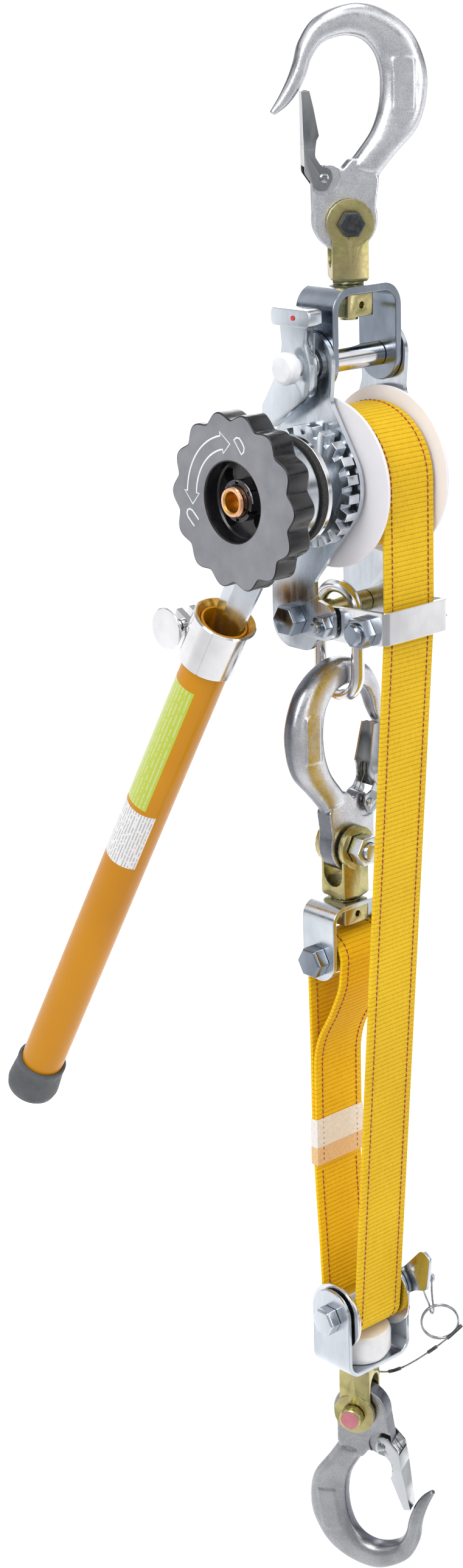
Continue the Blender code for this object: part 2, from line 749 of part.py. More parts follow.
def make_handwheel():
    """A scalloped handwheel: a deep rim round a recessed web with four windows."""
    low, high = WHEEL_X
    count = WHEEL_BUMPS * 5
    outline = []
    for i in range(count):
        angle = math.tau * i / count
        radius = WHEEL_R - 3 + 3 * math.cos(WHEEL_BUMPS * angle)
        outline.append((radius * math.cos(angle), radius * math.sin(angle)))
    middle = axis_basis(DRUM + X_AXIS * (low + high) / 2, X_AXIS)
    bore = circle((0, 0), SHAFT_R + GAP, 20)
    wheel = flat_piece("handwheel", [outline, bore], high - low, middle, "wheel_plastic")
    front = axis_basis(DRUM + X_AXIS * low, X_AXIS)
    cut(wheel, rod("handwheel_recess", 25, -5, 11, front, steps=28))
    for i in range(4):
        window = front @ Matrix.Rotation(math.radians(45 + 90 * i), 4, "Z")
        window = window @ Matrix.Translation((18.6 * MM, 0, 0))
        cut(wheel, rod("handwheel_window", 4.4, -5, 30, window, steps=12))
    return wheel


def make_brake():
    """The stack between the left side plate and the handwheel."""
    return [
        make_ratchet(),
        tube_x("brake_hub", DRUM, 19, SHAFT_R + GAP, -56.0, -46.3, "zinc", 20),
        tube_x("pressure_disc", DRUM, 35, SHAFT_R + GAP, -60.0, -56.3, "polished", 28),
        tube_x("friction_disc", DRUM, 35, SHAFT_R + GAP, -65.0, -60.3, "black_lining", 28),
    ]


def lever_basis():
    """Local x runs down the handle, y is up the lever's free side and z is +X."""
    along = Vector((0, math.sin(LEVER_TURN), -math.cos(LEVER_TURN)))
    return basis(DRUM + X_AXIS * LEVER_X, along, X_AXIS.cross(along))


def make_lever(matrix):
    """A round hub, and an arm that tapers into the handle tube."""
    hub_low, hub_high = -86 - LEVER_X, -65.3 - LEVER_X
    lever = rod("lever", 33, hub_low, hub_high, matrix, "zinc", 28)
    arm = lofted("lever_arm", [
        [(20, -15, -6), (20, 15, -6), (20, 15, 4), (20, -15, 4)],
        [(88, -13.5, -6), (88, 13.5, -6), (88, 13.5, 4), (88, -13.5, 4)],
        [(112, -11.5, -5), (112, 11.5, -5), (112, 11.5, 5), (112, -11.5, 5)],
        [(150, -5, -5), (150, 5, -5), (150, 5, 5), (150, -5, 5)]], matrix, None)
    join(lever, arm)
    return cut(lever, rod("lever_bore", SHAFT_R + GAP, -60, 60, matrix, steps=20))


def make_handle(matrix):
    along = matrix @ Matrix.Rotation(math.pi / 2, 4, "Y")
    end = COLLAR_START + COLLAR_LONG
    inside = TUBE_R - 1.7
    tube = turned("handle_tube", [
        (TUBE_R, TUBE_END), (TUBE_R, COLLAR_START + 3), (inside, COLLAR_START + 3),
        (inside, TUBE_END)], along, "amber_paint", 24, closed=True)
    collar = turned("handle_collar", [
        (COLLAR_R, end), (COLLAR_R, COLLAR_START + 1), (COLLAR_R - 1, COLLAR_START),
        (19.5, COLLAR_START), (TUBE_R + GAP, COLLAR_START + 4), (TUBE_R + GAP, end)],
        along, "polished", 28, closed=True)
    ears = box("collar_ears", (CLAMP_ALONG - 9, 19, -8), (CLAMP_ALONG + 8, CLAMP_OUT + 7, 8), matrix)
    join(collar, ears)
    cut(collar, box("collar_slot", (CLAMP_ALONG - 20, 22, -3), (CLAMP_ALONG + 20, CLAMP_OUT + 20, 3), matrix))
    screw_place = matrix @ Matrix.Translation((CLAMP_ALONG * MM, CLAMP_OUT * MM, 0))
    cut(collar, rod("collar_screw_bore", 3 + GAP, -30, 30, screw_place, steps=12))
    screw = turned("clamp_screw", [
        (0, 17), (3, 17), (3, -8.4), (6.5, -8.4), (6.5, -16), (14, -17.5), (14, -19),
        (12.5, -19.6), (0, -19.6)], screw_place, "zinc", 20)
    nut = flat_piece("clamp_nut", [hexagon(5.5), circle((0, 0), 3 + GAP, 12)], 6,
                     screw_place @ Matrix.Translation((0, 0, 11.4 * MM)), "zinc")
    cap = turned("handle_cap", [(0, CAP_END), (14, CAP_END), (18.3, CAP_END - 2.5), (19.7, CAP_END - 8),
                                (18.2, CAP_START + 1.5), (17.2, CAP_START), (TUBE_R + GAP, CAP_START),
                                (TUBE_R + GAP, TUBE_END + GAP), (0, TUBE_END + GAP)], along, "grey_rubber", 24)
    return [collar, tube, cap], [screw], nut


def make_pawl():
    """The holding pawl: a hooked body with a thumb tab, on the upper bolt."""
    body = filleted([
        (-12, -162, 3), (16, -162, 3), (13, -184, 8), (17, -200, 10), (33, -225, 4), (31.5, -239, 1.5),
        (25, -238, 3), (-11, -214, 12), (-12, -196, 8), (-7, -182, 8)], 30)
    holes = circle((UPPER_BOLT.y, UPPER_BOLT.z), BOLT_R + GAP)
    pawl = flat_piece("holding_pawl", [body, holes], 7, yz_plane(-43), "zinc")
    tab = filleted([(-14, -161, 3), (20, -161, 3), (20, -172, 3), (-14, -172, 3)])
    return join(pawl, flat_piece("holding_pawl_tab", [tab], 11.5, yz_plane(-43), None))


def make_pawl_spring():
    """A coil round the upper bolt between the pawl and the side plate."""
    count = 12
    path = []
    for i in range(count + 1):
        angle = math.tau * i / count
        path.append((-38.6 + 2.6 * i / count, 9.2 * math.cos(angle), UPPER_BOLT.z + 9.2 * math.sin(angle)))
    return wire("pawl_spring", path, 0.8, Matrix(), "dark_bolt")


# ---------------------------------------------------------------- strap

def yz_strip(name, loops):
    return flat_piece(name, loops, STRAP_WIDE, yz_plane(), "webbing")


def tangent_low():
    """Where the front leg meets the sheave, and the leg's unit direction down."""
    reach = SHEAVE_R + GAP + STRAP_THICK / 2
    start = Vector((STRAP_FRONT_Y, LOWER_Z))
    centre = Vector((SHEAVE.y, SHEAVE.z))
    across = centre - start
    lean = math.asin(reach / across.length)
    down = Matrix.Rotation(-lean, 2) @ across.normalized()
    return start + down * math.sqrt(across.length ** 2 - reach ** 2), down


def make_strap():
    touch, down = tangent_low()
    reach = SHEAVE_R + GAP + STRAP_THICK / 2
    coil = tube_x("strap_coil", DRUM, COIL_R, HUB_R + GAP, -STRAP_WIDE / 2, STRAP_WIDE / 2, "webbing", 36)
    front_path = [Vector((STRAP_FRONT_Y, DRUM.z)), Vector((STRAP_FRONT_Y, LOWER_Z + 4)),
                  Vector((STRAP_FRONT_Y, LOWER_Z)) + down * 4, touch - down * GAP]
    front = yz_strip("strap_front_leg", [strip(front_path, STRAP_THICK)])
    cut(front, bore_x("strap_coil_clearance", DRUM, COIL_R + GAP, 36))
    centre = (SHEAVE.y, SHEAVE.z)
    start = math.degrees(math.atan2(touch.y - centre[1], touch.x - centre[0])) % 360
    wrap = yz_strip("strap_sheave_wrap", [strip(arc(centre, reach, start, 360, 12), STRAP_THICK)])
    top = Vector((22.8, SEWN_BOTTOM - GAP))
    back_path = [Vector((centre[0] + reach, centre[1] + GAP)), Vector((17.6, -851)), Vector((19.3, -818)),
                 Vector((21.5, -786)), top]
    back = yz_strip("strap_back_leg", [strip(smooth_path(back_path, 3), STRAP_THICK)])
    return coil, front, wrap, back, make_sewn_loop()


def make_sewn_loop():
    """The strap's sewn end: two plies that part and go round the anchor roller."""
    centre = (ANCHOR_PIN.y, ANCHOR_PIN.z)
    outer_r = ANCHOR_ROLLER_R + 1.3 + STRAP_THICK
    inner_r = ANCHOR_ROLLER_R + 1.3
    rear, front = 22.8 + STRAP_THICK, 22.8 - STRAP_THICK
    outer = [*arc(centre, outer_r, 0, 205, 12), Vector((front, SEWN_TOP - 6)), Vector((front, SEWN_BOTTOM)),
             Vector((rear, SEWN_BOTTOM)), Vector((rear, SEWN_TOP))]
    inner = [*arc(centre, inner_r, 0, 200, 12), Vector((22.6, SEWN_TOP + 2))]
    return yz_strip("strap_anchor_loop", [outer, inner])


def make_anchor():
    """The bracket under the middle swivel, with its bolt and roller."""
    low = ANCHOR_PIN.z - 15
    u_points = u_outline(ANCHOR_X, ANCHOR_TOP, low - 5, 3.2, 11, True)
    y = ANCHOR_PIN.y
    side = filleted([(y - 15, ANCHOR_TOP + 5, 0), (y + 15, ANCHOR_TOP + 5, 0), (y + 15, low, 14.6),
                     (y - 15, low, 14.6)], 22.5)
    bracket = folded_frame("anchor_bracket", u_points, side, "zinc")
    cut(bracket, bore_x("anchor_bolt_bore", ANCHOR_PIN, BOLT_R + GAP))
    place = Matrix.Translation((MID_EYE.x * MM, MID_EYE.y * MM, 0))
    cut(bracket, rod("anchor_stem_bore", STEM_R + 0.5, -575, -550, place))
    bolt = bolt_x("anchor_bolt", ANCHOR_PIN, [
        (6, 8.5, -38), (6, 9.5, -36.5), (6, 9.5, -ANCHOR_X - GAP), (12, BOLT_R, -ANCHOR_X - GAP),
        *nut_end(ANCHOR_X + GAP, 8)], "zinc")
    roller = tube_x("anchor_roller", ANCHOR_PIN, ANCHOR_ROLLER_R, BOLT_R + GAP, -23.6, 23.6, "polished", 20)
    return [bracket, bolt, roller]


# ---------------------------------------------------------------- lower block

def make_block():
    """The block's folded frame, its sheave, sheave bolt, wing tab and hitch ring."""
    u_points = u_outline(BLOCK_X, BLOCK_WEB, BLOCK_TOP + 5, BLOCK_THICK, 11, False)
    side = filleted([(-17.5, BLOCK_WEB - 3, 0), (19.4, BLOCK_WEB - 3, 0), (19.4, BLOCK_TOP, 17.5),
                     (-16.4, BLOCK_TOP, 17.5)], 22.5)
    frame = folded_frame("block_frame", u_points, side, "zinc")
    cut(frame, bore_x("block_bolt_bore", SHEAVE, BOLT_R + GAP))
    stem = Matrix.Translation((0, BOTTOM_EYE.y * MM, 0))
    cut(frame, rod("block_stem_bore", STEM_R + 0.5, -925, -905, stem))
    disc_in = STRAP_WIDE / 2 + 1.4
    profile = [
        (SHEAVE_DISC_R, disc_in + 2), (SHEAVE_DISC_R, disc_in), (SHEAVE_R, disc_in), (SHEAVE_R, -disc_in),
        (SHEAVE_DISC_R, -disc_in), (SHEAVE_DISC_R, -disc_in - 2), (BOLT_R + GAP, -disc_in - 2),
        (BOLT_R + GAP, disc_in + 2),
    ]
    sheave = turned("sheave", profile, axis_basis(SHEAVE, X_AXIS), "polished", 28, closed=True)
    wing_low = BLOCK_X + GAP
    bolt = bolt_x("sheave_bolt", SHEAVE, [
        (6, 8, -39.5), (6, 9, -38), (6, 9, -BLOCK_X - GAP), (12, BOLT_R, -BLOCK_X - GAP),
        *nut_end(wing_low + WING_THICK + GAP, 6)], "zinc")
    wing_outline = filleted([
        (-10.5, -882, 11), (12.5, -884, 11), (13.5, -862, 10), (-10, -850, 12), (-29, -829, 5),
        (-37, -834, 5), (-34, -860, 5), (-16, -866, 15)], 30)
    wing = flat_piece("axle_wing", [wing_outline, circle((SHEAVE.y, SHEAVE.z), BOLT_R + GAP)], WING_THICK,
                      yz_plane(wing_low + WING_THICK / 2), "zinc")
    profile = [(0, 44), (3, 44), (3.6, 42.6), (3, 41.2), (1.3, 41.2), (1.3, 32), (0, 32)]
    stud = turned("axle_wing_stud", profile, axis_basis((0, *HITCH_STUD[1:]), X_AXIS), None, 12)
    join(wing, stud)
    return frame, [sheave], [bolt, wing]


def make_hitch_ring():
    """A split ring hung from the wing's stud by a closed wire link that is twisted to pass round it."""
    along = Vector((math.cos(HITCH_TURN), math.sin(HITCH_TURN), 0))
    round_path = [(point.x, point.y, 0) for point in circle((0, 0), 13.2, 24)]
    ring = wire("hitch_ring", round_path, 1.0, basis(HITCH_RING, along, Z_AXIS), "lanyard_steel", closed=True)
    path = [
        (0, 3.4, 0), (2.8, 2.2, 0), (3.8, -1.2, 0.2), (3.8, -8, 0.8), (4.3, -16, 2.4), (4.9, -21.5, 2.9),
        (4.6, -25, 2), (3.6, -26.6, 0), (2.8, -25, -2), (2.2, -21.5, -2.9), (0.2, -16, -2.4), (-2.2, -8, -0.8),
        (-3.7, -1.2, -0.2), (-2.8, 2.2, 0),
    ]
    link = wire("ring_link", path, 0.8, basis(HITCH_STUD, along, Z_AXIS), "lanyard_steel", closed=True)
    return ring, link


def make_lanyard():
    return wire("lanyard", smooth_path(LANYARD_ROUTE, 3), LANYARD_R, Matrix(), "lanyard_steel")


# ---------------------------------------------------------------- assembly

def build():
    top_hook_at = hook_basis(TOP_EYE, TOP_HOOK_TURN)
    top_clevis_at = clevis_basis(TOP_EYE, TOP_HOOK_TURN)
    make_hook("top_hook", top_hook_at)
    latch_joint = joint_empty("top_latch_joint", latch_place(top_hook_at).translation / MM)
    hang(latch_joint, make_latch("top_hook_latch", top_hook_at))
    hook_bolt("top_hook_bolt", clevis_flip(top_clevis_at), 6, "dark_bolt")
    hook_nut("top_hook_nut", clevis_flip(top_clevis_at), "dark_bolt")
    clevis_joint = joint_empty("top_clevis_joint", TOP_EYE)
    hang(clevis_joint, make_clevis("top_clevis", top_clevis_at, 24.5, 1.7),
         swivel_nut("top_swivel_nut", Matrix(), 12, -170, -155.4))

    bail_joint = joint_empty("bail_joint", (0, 0, BAIL_TOP), clevis_joint)
    hang(bail_joint, make_bail())
    frame_joint = joint_empty("frame_joint", UPPER_BOLT, bail_joint)
    hang(frame_joint, *make_frame(), make_pawl_spring(), make_ring(), *make_anchor())
    pawl_joint = joint_empty("pawl_joint", UPPER_BOLT, frame_joint)
    hang(pawl_joint, make_pawl())

    drum_joint = joint_empty("drum_joint", DRUM, frame_joint)
    hang(drum_joint, make_drum(), make_shaft(), *make_brake())
    wheel_joint = joint_empty("handwheel_joint", DRUM, frame_joint)
    hang(wheel_joint, make_handwheel())
    lever_joint = joint_empty("lever_joint", DRUM, frame_joint)
    lever_at = lever_basis()
    handle, screws, nut = make_handle(lever_at)
    hang(lever_joint, make_lever(lever_at), *handle, nut)
    screw_joint = joint_empty("clamp_screw_joint",
                              lever_at @ Vector((CLAMP_ALONG * MM, CLAMP_OUT * MM, 0)) / MM, lever_joint)
    hang(screw_joint, *screws)

    mid_hook_at = hook_basis(MID_EYE, math.pi)
    mid_clevis_at = clevis_basis(MID_EYE, math.pi)
    mid_latch_joint = joint_empty("mid_latch_joint", latch_place(mid_hook_at).translation / MM, frame_joint)
    hang(mid_latch_joint, make_latch("mid_hook_latch", mid_hook_at))
    place = Matrix.Translation((0, MID_EYE.y * MM, 0))
    mid_bolt_at = clevis_flip(mid_clevis_at)
    hang(frame_joint, make_hook("mid_hook", mid_hook_at),
         hook_bolt("mid_hook_bolt", mid_bolt_at, 6, "zinc"), hook_nut("mid_hook_nut", mid_bolt_at, "zinc"),
         make_clevis("mid_clevis", mid_clevis_at, 18.5, 1),
         swivel_nut("mid_swivel_nut", place, 12, -580, -566.9))

    coil, front_leg, wrap, back_leg, sewn_loop = make_strap()
    hang(drum_joint, coil)
    hang(frame_joint, front_leg, back_leg, sewn_loop)
    block_joint = joint_empty("block_joint", SHEAVE, frame_joint)
    block, turning, fixed = make_block()
    hang(block_joint, block, wrap, *fixed)
    sheave_joint = joint_empty("sheave_joint", SHEAVE, block_joint)
    hang(sheave_joint, *turning)
    ring, link = make_hitch_ring()
    hang(block_joint, ring, link, make_lanyard())

    bottom_clevis_at = clevis_basis(BOTTOM_EYE, BOTTOM_HOOK_TURN)
    bottom_joint = joint_empty("bottom_swivel_joint", (0, BOTTOM_EYE.y, BLOCK_WEB), block_joint)
    flip = bottom_clevis_at @ Matrix.Rotation(math.pi, 4, "X")
    boss = turned("bottom_swivel_nut", [
        (21, -889), (23, -892), (23, -905), (20, -910.4), (STEM_R + GAP, -910.4),
        (STEM_R + GAP, -889)], Matrix.Translation((0, BOTTOM_EYE.y * MM, 0)), "polished", 24, closed=True)
    hang(bottom_joint, make_clevis("bottom_clevis", flip, 28, 4.5), boss)
    hook_joint = joint_empty("bottom_hook_joint", BOTTOM_EYE, bottom_joint)
    bottom_hook_at = hook_basis(BOTTOM_EYE, BOTTOM_HOOK_TURN, BOTTOM_HOOK_TILT, down=True)
    hang(bottom_joint, hook_bolt("bottom_hook_pin", flip, 12, "yellow_zinc"))
    hang(hook_joint, make_hook("bottom_hook", bottom_hook_at))
    latch_at = latch_place(bottom_hook_at).translation / MM
    bottom_latch_joint = joint_empty("bottom_latch_joint", latch_at, hook_joint)
    hang(bottom_latch_joint, make_latch("bottom_hook_latch", bottom_hook_at))


clear_scene()
parts = make_collection("come_along_winch")
cutters = make_collection("cutters", hidden=True)
build()
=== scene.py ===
"""Looks of the come along winch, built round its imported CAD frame.

Lengths are in millimetres in the frame's own axes, and the helpers turn them into metres.
"""

import json
import math

import bmesh
import bpy
from mathutils import Matrix, Vector

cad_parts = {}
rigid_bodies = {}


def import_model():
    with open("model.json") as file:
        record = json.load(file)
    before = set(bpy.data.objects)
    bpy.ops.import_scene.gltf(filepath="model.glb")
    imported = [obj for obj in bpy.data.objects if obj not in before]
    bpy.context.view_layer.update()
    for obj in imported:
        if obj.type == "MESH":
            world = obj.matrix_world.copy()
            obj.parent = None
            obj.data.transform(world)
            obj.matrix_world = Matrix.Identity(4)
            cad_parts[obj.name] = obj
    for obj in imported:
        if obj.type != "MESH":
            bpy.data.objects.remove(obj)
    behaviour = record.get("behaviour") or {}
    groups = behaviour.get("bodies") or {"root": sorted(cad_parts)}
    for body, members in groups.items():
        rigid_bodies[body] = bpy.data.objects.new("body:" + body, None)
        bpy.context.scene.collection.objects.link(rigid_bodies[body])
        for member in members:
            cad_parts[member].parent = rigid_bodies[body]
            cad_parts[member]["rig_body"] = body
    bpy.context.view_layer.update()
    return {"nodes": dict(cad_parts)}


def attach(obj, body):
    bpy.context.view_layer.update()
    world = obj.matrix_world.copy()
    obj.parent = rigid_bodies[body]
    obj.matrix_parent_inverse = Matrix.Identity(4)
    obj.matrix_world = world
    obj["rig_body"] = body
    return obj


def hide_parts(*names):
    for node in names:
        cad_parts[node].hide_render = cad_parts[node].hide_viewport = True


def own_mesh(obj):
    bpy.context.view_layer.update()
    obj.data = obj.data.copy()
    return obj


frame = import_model()
NODES = frame["nodes"]

MM = 0.001
X_AXIS = Vector((1, 0, 0))
Y_AXIS = Vector((0, 1, 0))
Z_AXIS = Vector((0, 0, 1))


# ---------------------------------------------------------------- camera and studio

CAMERA_AT = (-1.1761, -1.1914, 0.0593)
CAMERA_AZIMUTH = math.radians(-41.8)
CAMERA_ELEVATION = math.radians(17.84)
CAMERA_ROLL = math.radians(-1.66)
CAMERA_LENS = 60.4
FLOOR_Z = -1.5
FLOOR_SIZE = 900


def new_object(name, data):
    obj = bpy.data.objects.new(name, data)
    bpy.context.scene.collection.objects.link(obj)
    return obj


def make_camera():
    a, e, r = CAMERA_AZIMUTH, CAMERA_ELEVATION, CAMERA_ROLL
    back = Vector((math.sin(a) * math.cos(e), -math.cos(a) * math.cos(e), math.sin(e)))
    level = Vector((math.cos(a), math.sin(a), 0))
    upright = back.cross(level)
    right = level * math.cos(r) + upright * math.sin(r)
    up = upright * math.cos(r) - level * math.sin(r)
    data = bpy.data.cameras.new("camera")
    data.sensor_fit = "VERTICAL"
    data.sensor_height = 36
    data.lens = CAMERA_LENS
    data.clip_start = 0.05
    data.clip_end = 200
    camera = new_object("camera", data)
    camera.matrix_world = Matrix.Translation(CAMERA_AT) @ Matrix((right, up, back)).transposed().to_4x4()
    bpy.context.scene.camera = camera


def area_light(name, place, target, wide, tall, power, tint=(1, 1, 1)):
    data = bpy.data.lights.new(name, "AREA")
    data.shape = "RECTANGLE"
    data.size = wide
    data.size_y = tall
    data.energy = power
    data.color = tint
    light = new_object(name, data)
    light.location = place
    light.rotation_euler = (Vector(target) - Vector(place)).to_track_quat("-Z", "Y").to_euler()


def make_studio():
    """Soft lights, a pale floor far below, and a grey surround with dark bands for the metals."""
    area_light("key", (-1.7, -0.6, 0.9), (0, 0, -0.45), 0.9, 1.6, 24)
    area_light("front", (0.5, -2.2, 0.1), (0, 0, -0.55), 0.7, 1.8, 7)
    area_light("rim", (1.3, 1.3, 0.6), (0, 0, -0.5), 0.6, 1.8, 10)
    area_light("top", (-0.1, -0.1, 1.6), (0, 0, -0.4), 1.2, 1.2, 7)
    world = bpy.data.worlds.new("surround")
    bpy.context.scene.world = world
    world.use_nodes = True
    tree = world.node_tree
    background = tree.nodes["Background"]
    place = tree.nodes.new("ShaderNodeTexCoord")
    split = tree.nodes.new("ShaderNodeSeparateXYZ")
    tree.links.new(place.outputs["Generated"], split.inputs[0])
    height = tree.nodes.new("ShaderNodeMapRange")
    height.inputs["From Min"].default_value = -1
    tree.links.new(split.outputs["Z"], height.inputs["Value"])
    bands = tree.nodes.new("ShaderNodeValToRGB")
    stops = (
        (0.0, 0.6), (0.46, 0.9), (0.54, 0.9), (0.57, 0.2), (0.62, 0.16), (0.7, 1.1), (0.82, 1.0),
        (0.9, 0.3), (1.0, 1.0))
    ramp(bands, [(at, (grey, grey, grey * 1.02)) for at, grey in stops])
    tree.links.new(height.outputs[0], bands.inputs[0])
    tree.links.new(bands.outputs[0], background.inputs["Color"])
    background.inputs["Strength"].default_value = 1.0
    bpy.ops.mesh.primitive_plane_add(size=FLOOR_SIZE, location=(0, 0, FLOOR_Z))
    floor = bpy.context.object
    floor.name = "floor"
    floor.data.materials.append(floor_material())
    bpy.context.scene.view_settings.view_transform = "Standard"


# ---------------------------------------------------------------- materials

def ramp(node, stops):
    """Fills a colour ramp with (position, colour) stops."""
    elements = node.color_ramp.elements
    while len(elements) < len(stops):
        elements.new(0.5)
    for element, (at, colour) in zip(elements, stops):
        element.position = at
        element.color = (*colour, 1)


class Finish:
    """A material under construction: its Principled BSDF and the nodes that feed it."""

    def __init__(self, name, metallic=0.0, roughness=0.4):
        self.material = bpy.data.materials.new(name)
        self.material.use_nodes = True
        self.tree = self.material.node_tree
        self.shader = self.tree.nodes["Principled BSDF"]
        self.shader.inputs["Metallic"].default_value = metallic
        self.shader.inputs["Roughness"].default_value = roughness
        self.place = self.node("ShaderNodeTexCoord").outputs["Object"]

    def node(self, kind):
        return self.tree.nodes.new(kind)

    def link(self, start, end):
        self.tree.links.new(start, end)

    def stretched(self, scale):
        mapping = self.node("ShaderNodeMapping")
        mapping.inputs["Scale"].default_value = scale
        self.link(self.place, mapping.inputs["Vector"])
        return mapping.outputs["Vector"]

    def noise(self, scale, detail=3.0, stretch=None, rough=0.55):
        node = self.node("ShaderNodeTexNoise")
        node.inputs["Scale"].default_value = scale
        node.inputs["Detail"].default_value = detail
        node.inputs["Roughness"].default_value = rough
        self.link(self.stretched(stretch) if stretch else self.place, node.inputs["Vector"])
        return node.outputs["Fac"]

    def colours(self, value, stops):
        node = self.node("ShaderNodeValToRGB")
        ramp(node, stops)
        self.link(value, node.inputs[0])
        return node.outputs[0]

    def mix(self, amount, first, second):
        node = self.node("ShaderNodeMix")
        node.data_type = "RGBA"
        for value, index in ((amount, 0), (first, 6), (second, 7)):
            if hasattr(value, "is_output"):
                self.link(value, node.inputs[index])
            else:
                node.inputs[index].default_value = value if index == 0 else (*value, 1)
        return node.outputs[2]

    def spread(self, value, low, high, from_low=0.3, from_high=0.7):
        node = self.node("ShaderNodeMapRange")
        node.inputs["From Min"].default_value = from_low
        node.inputs["From Max"].default_value = from_high
        node.inputs["To Min"].default_value = low
        node.inputs["To Max"].default_value = high
        self.link(value, node.inputs["Value"])
        return node.outputs[0]

    def colour(self, source):
        self.link(source, self.shader.inputs["Base Color"])

    def rough(self, source):
        self.link(source, self.shader.inputs["Roughness"])

    def bump(self, value, strength, distance):
        node = self.node("ShaderNodeBump")
        node.inputs["Strength"].default_value = strength
        node.inputs["Distance"].default_value = distance
        self.link(value, node.inputs["Height"])
        previous = self.shader.inputs["Normal"]
        if previous.is_linked:
            self.link(previous.links[0].from_socket, node.inputs["Normal"])
        self.link(node.outputs[0], previous)

    def worn_edges(self, base, bright, amount=0.5):
        """Mixes a lighter colour in where an edge has rubbed bright."""
        point = self.node("ShaderNodeNewGeometry").outputs["Pointiness"]
        edge = self.spread(point, 0.0, amount, 0.52, 0.6)
        return self.mix(edge, base, bright)


def forged_steel(name="forged_steel_finish", dark=(0.60, 0.61, 0.64), light=(0.8, 0.81, 0.84)):
    made = Finish(name, metallic=1.0)
    broad = made.noise(35, 4)
    grain = made.noise(1500, 2)
    pale = made.colours(broad, [(0.3, dark), (0.7, light)])
    # Painted shade: where the surface turns away from the hook's faces, the colour is darkened towards a near
    # black grey.
    flank_shade = made.node("ShaderNodeAttribute")
    flank_shade.attribute_name = "flank_shade"
    base = made.mix(made.spread(flank_shade.outputs["Fac"], 0.0, 0.9, 0.12, 0.75), pale, (0.13, 0.14, 0.165))
    fleck = made.colours(grain, [(0.35, (0.55, 0.55, 0.57)), (0.65, (1.0, 1.0, 1.0))])
    tinted = made.node("ShaderNodeMix")
    tinted.data_type = "RGBA"
    tinted.blend_type = "MULTIPLY"
    tinted.inputs[0].default_value = 0.6
    made.link(base, tinted.inputs[6])
    made.link(fleck, tinted.inputs[7])
    made.colour(made.worn_edges(tinted.outputs[2], (0.75, 0.76, 0.8), 0.6))
    made.rough(made.spread(made.noise(180, 3), 0.22, 0.36))
    made.bump(grain, 0.25, 0.0002)
    made.bump(made.noise(140, 3), 0.2, 0.0005)
    return made.material


def two(dark, light, low=0.3):
    return [(low, dark), (1 - low, light)]


def surface(name, tone, stops, metallic=0.0, roughness=0.4, rough=None, bumps=(), worn=None, inputs=None):
    """A finish coloured by one noise. tone, rough and each bump start with the arguments of their noise:
    rough ends with its lowest and highest roughness, and a bump with its strength and distance."""
    made = Finish(name, metallic, roughness)
    colour = made.colours(made.noise(*tone), stops)
    made.colour(made.worn_edges(colour, *worn) if worn else colour)
    if rough:
        *noise, low, high = rough
        made.rough(made.spread(made.noise(*noise), low, high))
    for *noise, strength, distance in bumps:
        made.bump(made.noise(*noise), strength, distance)
    for socket, value in (inputs or {}).items():
        made.shader.inputs[socket].default_value = value
    return made.material


def zinc(name, dark, light, low, high):
    return surface(name, (28, 5, (1, 1, 0.5)), two(dark, light), 1.0, worn=((0.9, 0.92, 0.95), 0.5),
                   rough=(220, 4, (1, 1, 0.25), low, high), bumps=[(900, 2, (1, 1, 0.3), 0.12, 0.0002)])


def thread(name, dark, light):
    return surface(name, (700, 2), two(dark, light), roughness=0.6, bumps=[(2500, 2, 0.3, 0.0002)],
                   inputs={"Sheen Weight": 0.3})


def plain_plastic(name, dark, light, roughness):
    return surface(name, (150, 3), two(dark, light), roughness=roughness, bumps=[(900, 2, 0.1, 0.0002)])


def webbing(name, valley_shade, hump, fleck):
    """Ribbed webbing: the rib attribute is 0 between two ribs and 1 on top of one."""
    made = Finish(name, roughness=0.7)
    rib = made.node("ShaderNodeAttribute")
    rib.attribute_name = "rib"
    # Painted shade: the valleys between the ribs take a darker colour than the rib tops.
    tone = made.colours(rib.outputs["Fac"], [(0.0, valley_shade), (0.45, hump), (1.0, hump)])
    yarn = made.noise(900, 2, stretch=(1.2, 0.25, 0.25))
    patch = made.colours(made.noise(14, 3), [(0.3, (0.9, 0.86, 0.8)), (0.7, (1, 1, 1))])
    shaded = made.node("ShaderNodeMix")
    shaded.data_type = "RGBA"
    shaded.blend_type = "MULTIPLY"
    shaded.inputs[0].default_value = 1.0
    made.link(made.mix(made.spread(yarn, 0.0, 0.5), tone, fleck), shaded.inputs[6])
    made.link(patch, shaded.inputs[7])
    made.colour(shaded.outputs[2])
    made.shader.inputs["Specular IOR Level"].default_value = 0.2
    wave = made.node("ShaderNodeTexWave")
    wave.wave_type = "BANDS"
    wave.bands_direction = "X"
    wave.inputs["Scale"].default_value = 330
    wave.inputs["Distortion"].default_value = 1.5
    made.link(made.place, wave.inputs["Vector"])
    made.bump(wave.outputs["Fac"], 0.25, 0.0003)
    made.bump(yarn, 0.2, 0.0002)
    return made.material


def label(name, ground, bars, pitch_mm, share):
    """A printed label: plain grey bars in rows, with no lettering. Its UV map is in millimetres."""
    made = Finish(name, roughness=0.3)
    uv = made.node("ShaderNodeTexCoord").outputs["UV"]
    split = made.node("ShaderNodeSeparateXYZ")
    made.link(uv, split.inputs[0])

    def maths(operation, first, second=None):
        node = made.node("ShaderNodeMath")
        node.operation = operation
        for index, value in enumerate((first, second)):
            if value is None:
                continue
            if hasattr(value, "is_output"):
                made.link(value, node.inputs[index])
            else:
                node.inputs[index].default_value = value
        return node.outputs[0]

    row = maths("FRACT", maths("DIVIDE", split.outputs["X"], pitch_mm))
    in_row = maths("LESS_THAN", row, share)
    breaks = made.node("ShaderNodeTexNoise")
    breaks.noise_dimensions = "2D"
    breaks.inputs["Scale"].default_value = 0.35
    made.link(uv, breaks.inputs["Vector"])
    printed = maths("MULTIPLY", in_row, maths("GREATER_THAN", breaks.outputs["Fac"], 0.42))
    made.colour(made.mix(printed, ground, bars))
    made.shader.inputs["Coat Weight"].default_value = 0.4
    made.bump(made.noise(300, 2), 0.04, 0.0003)
    return made.material


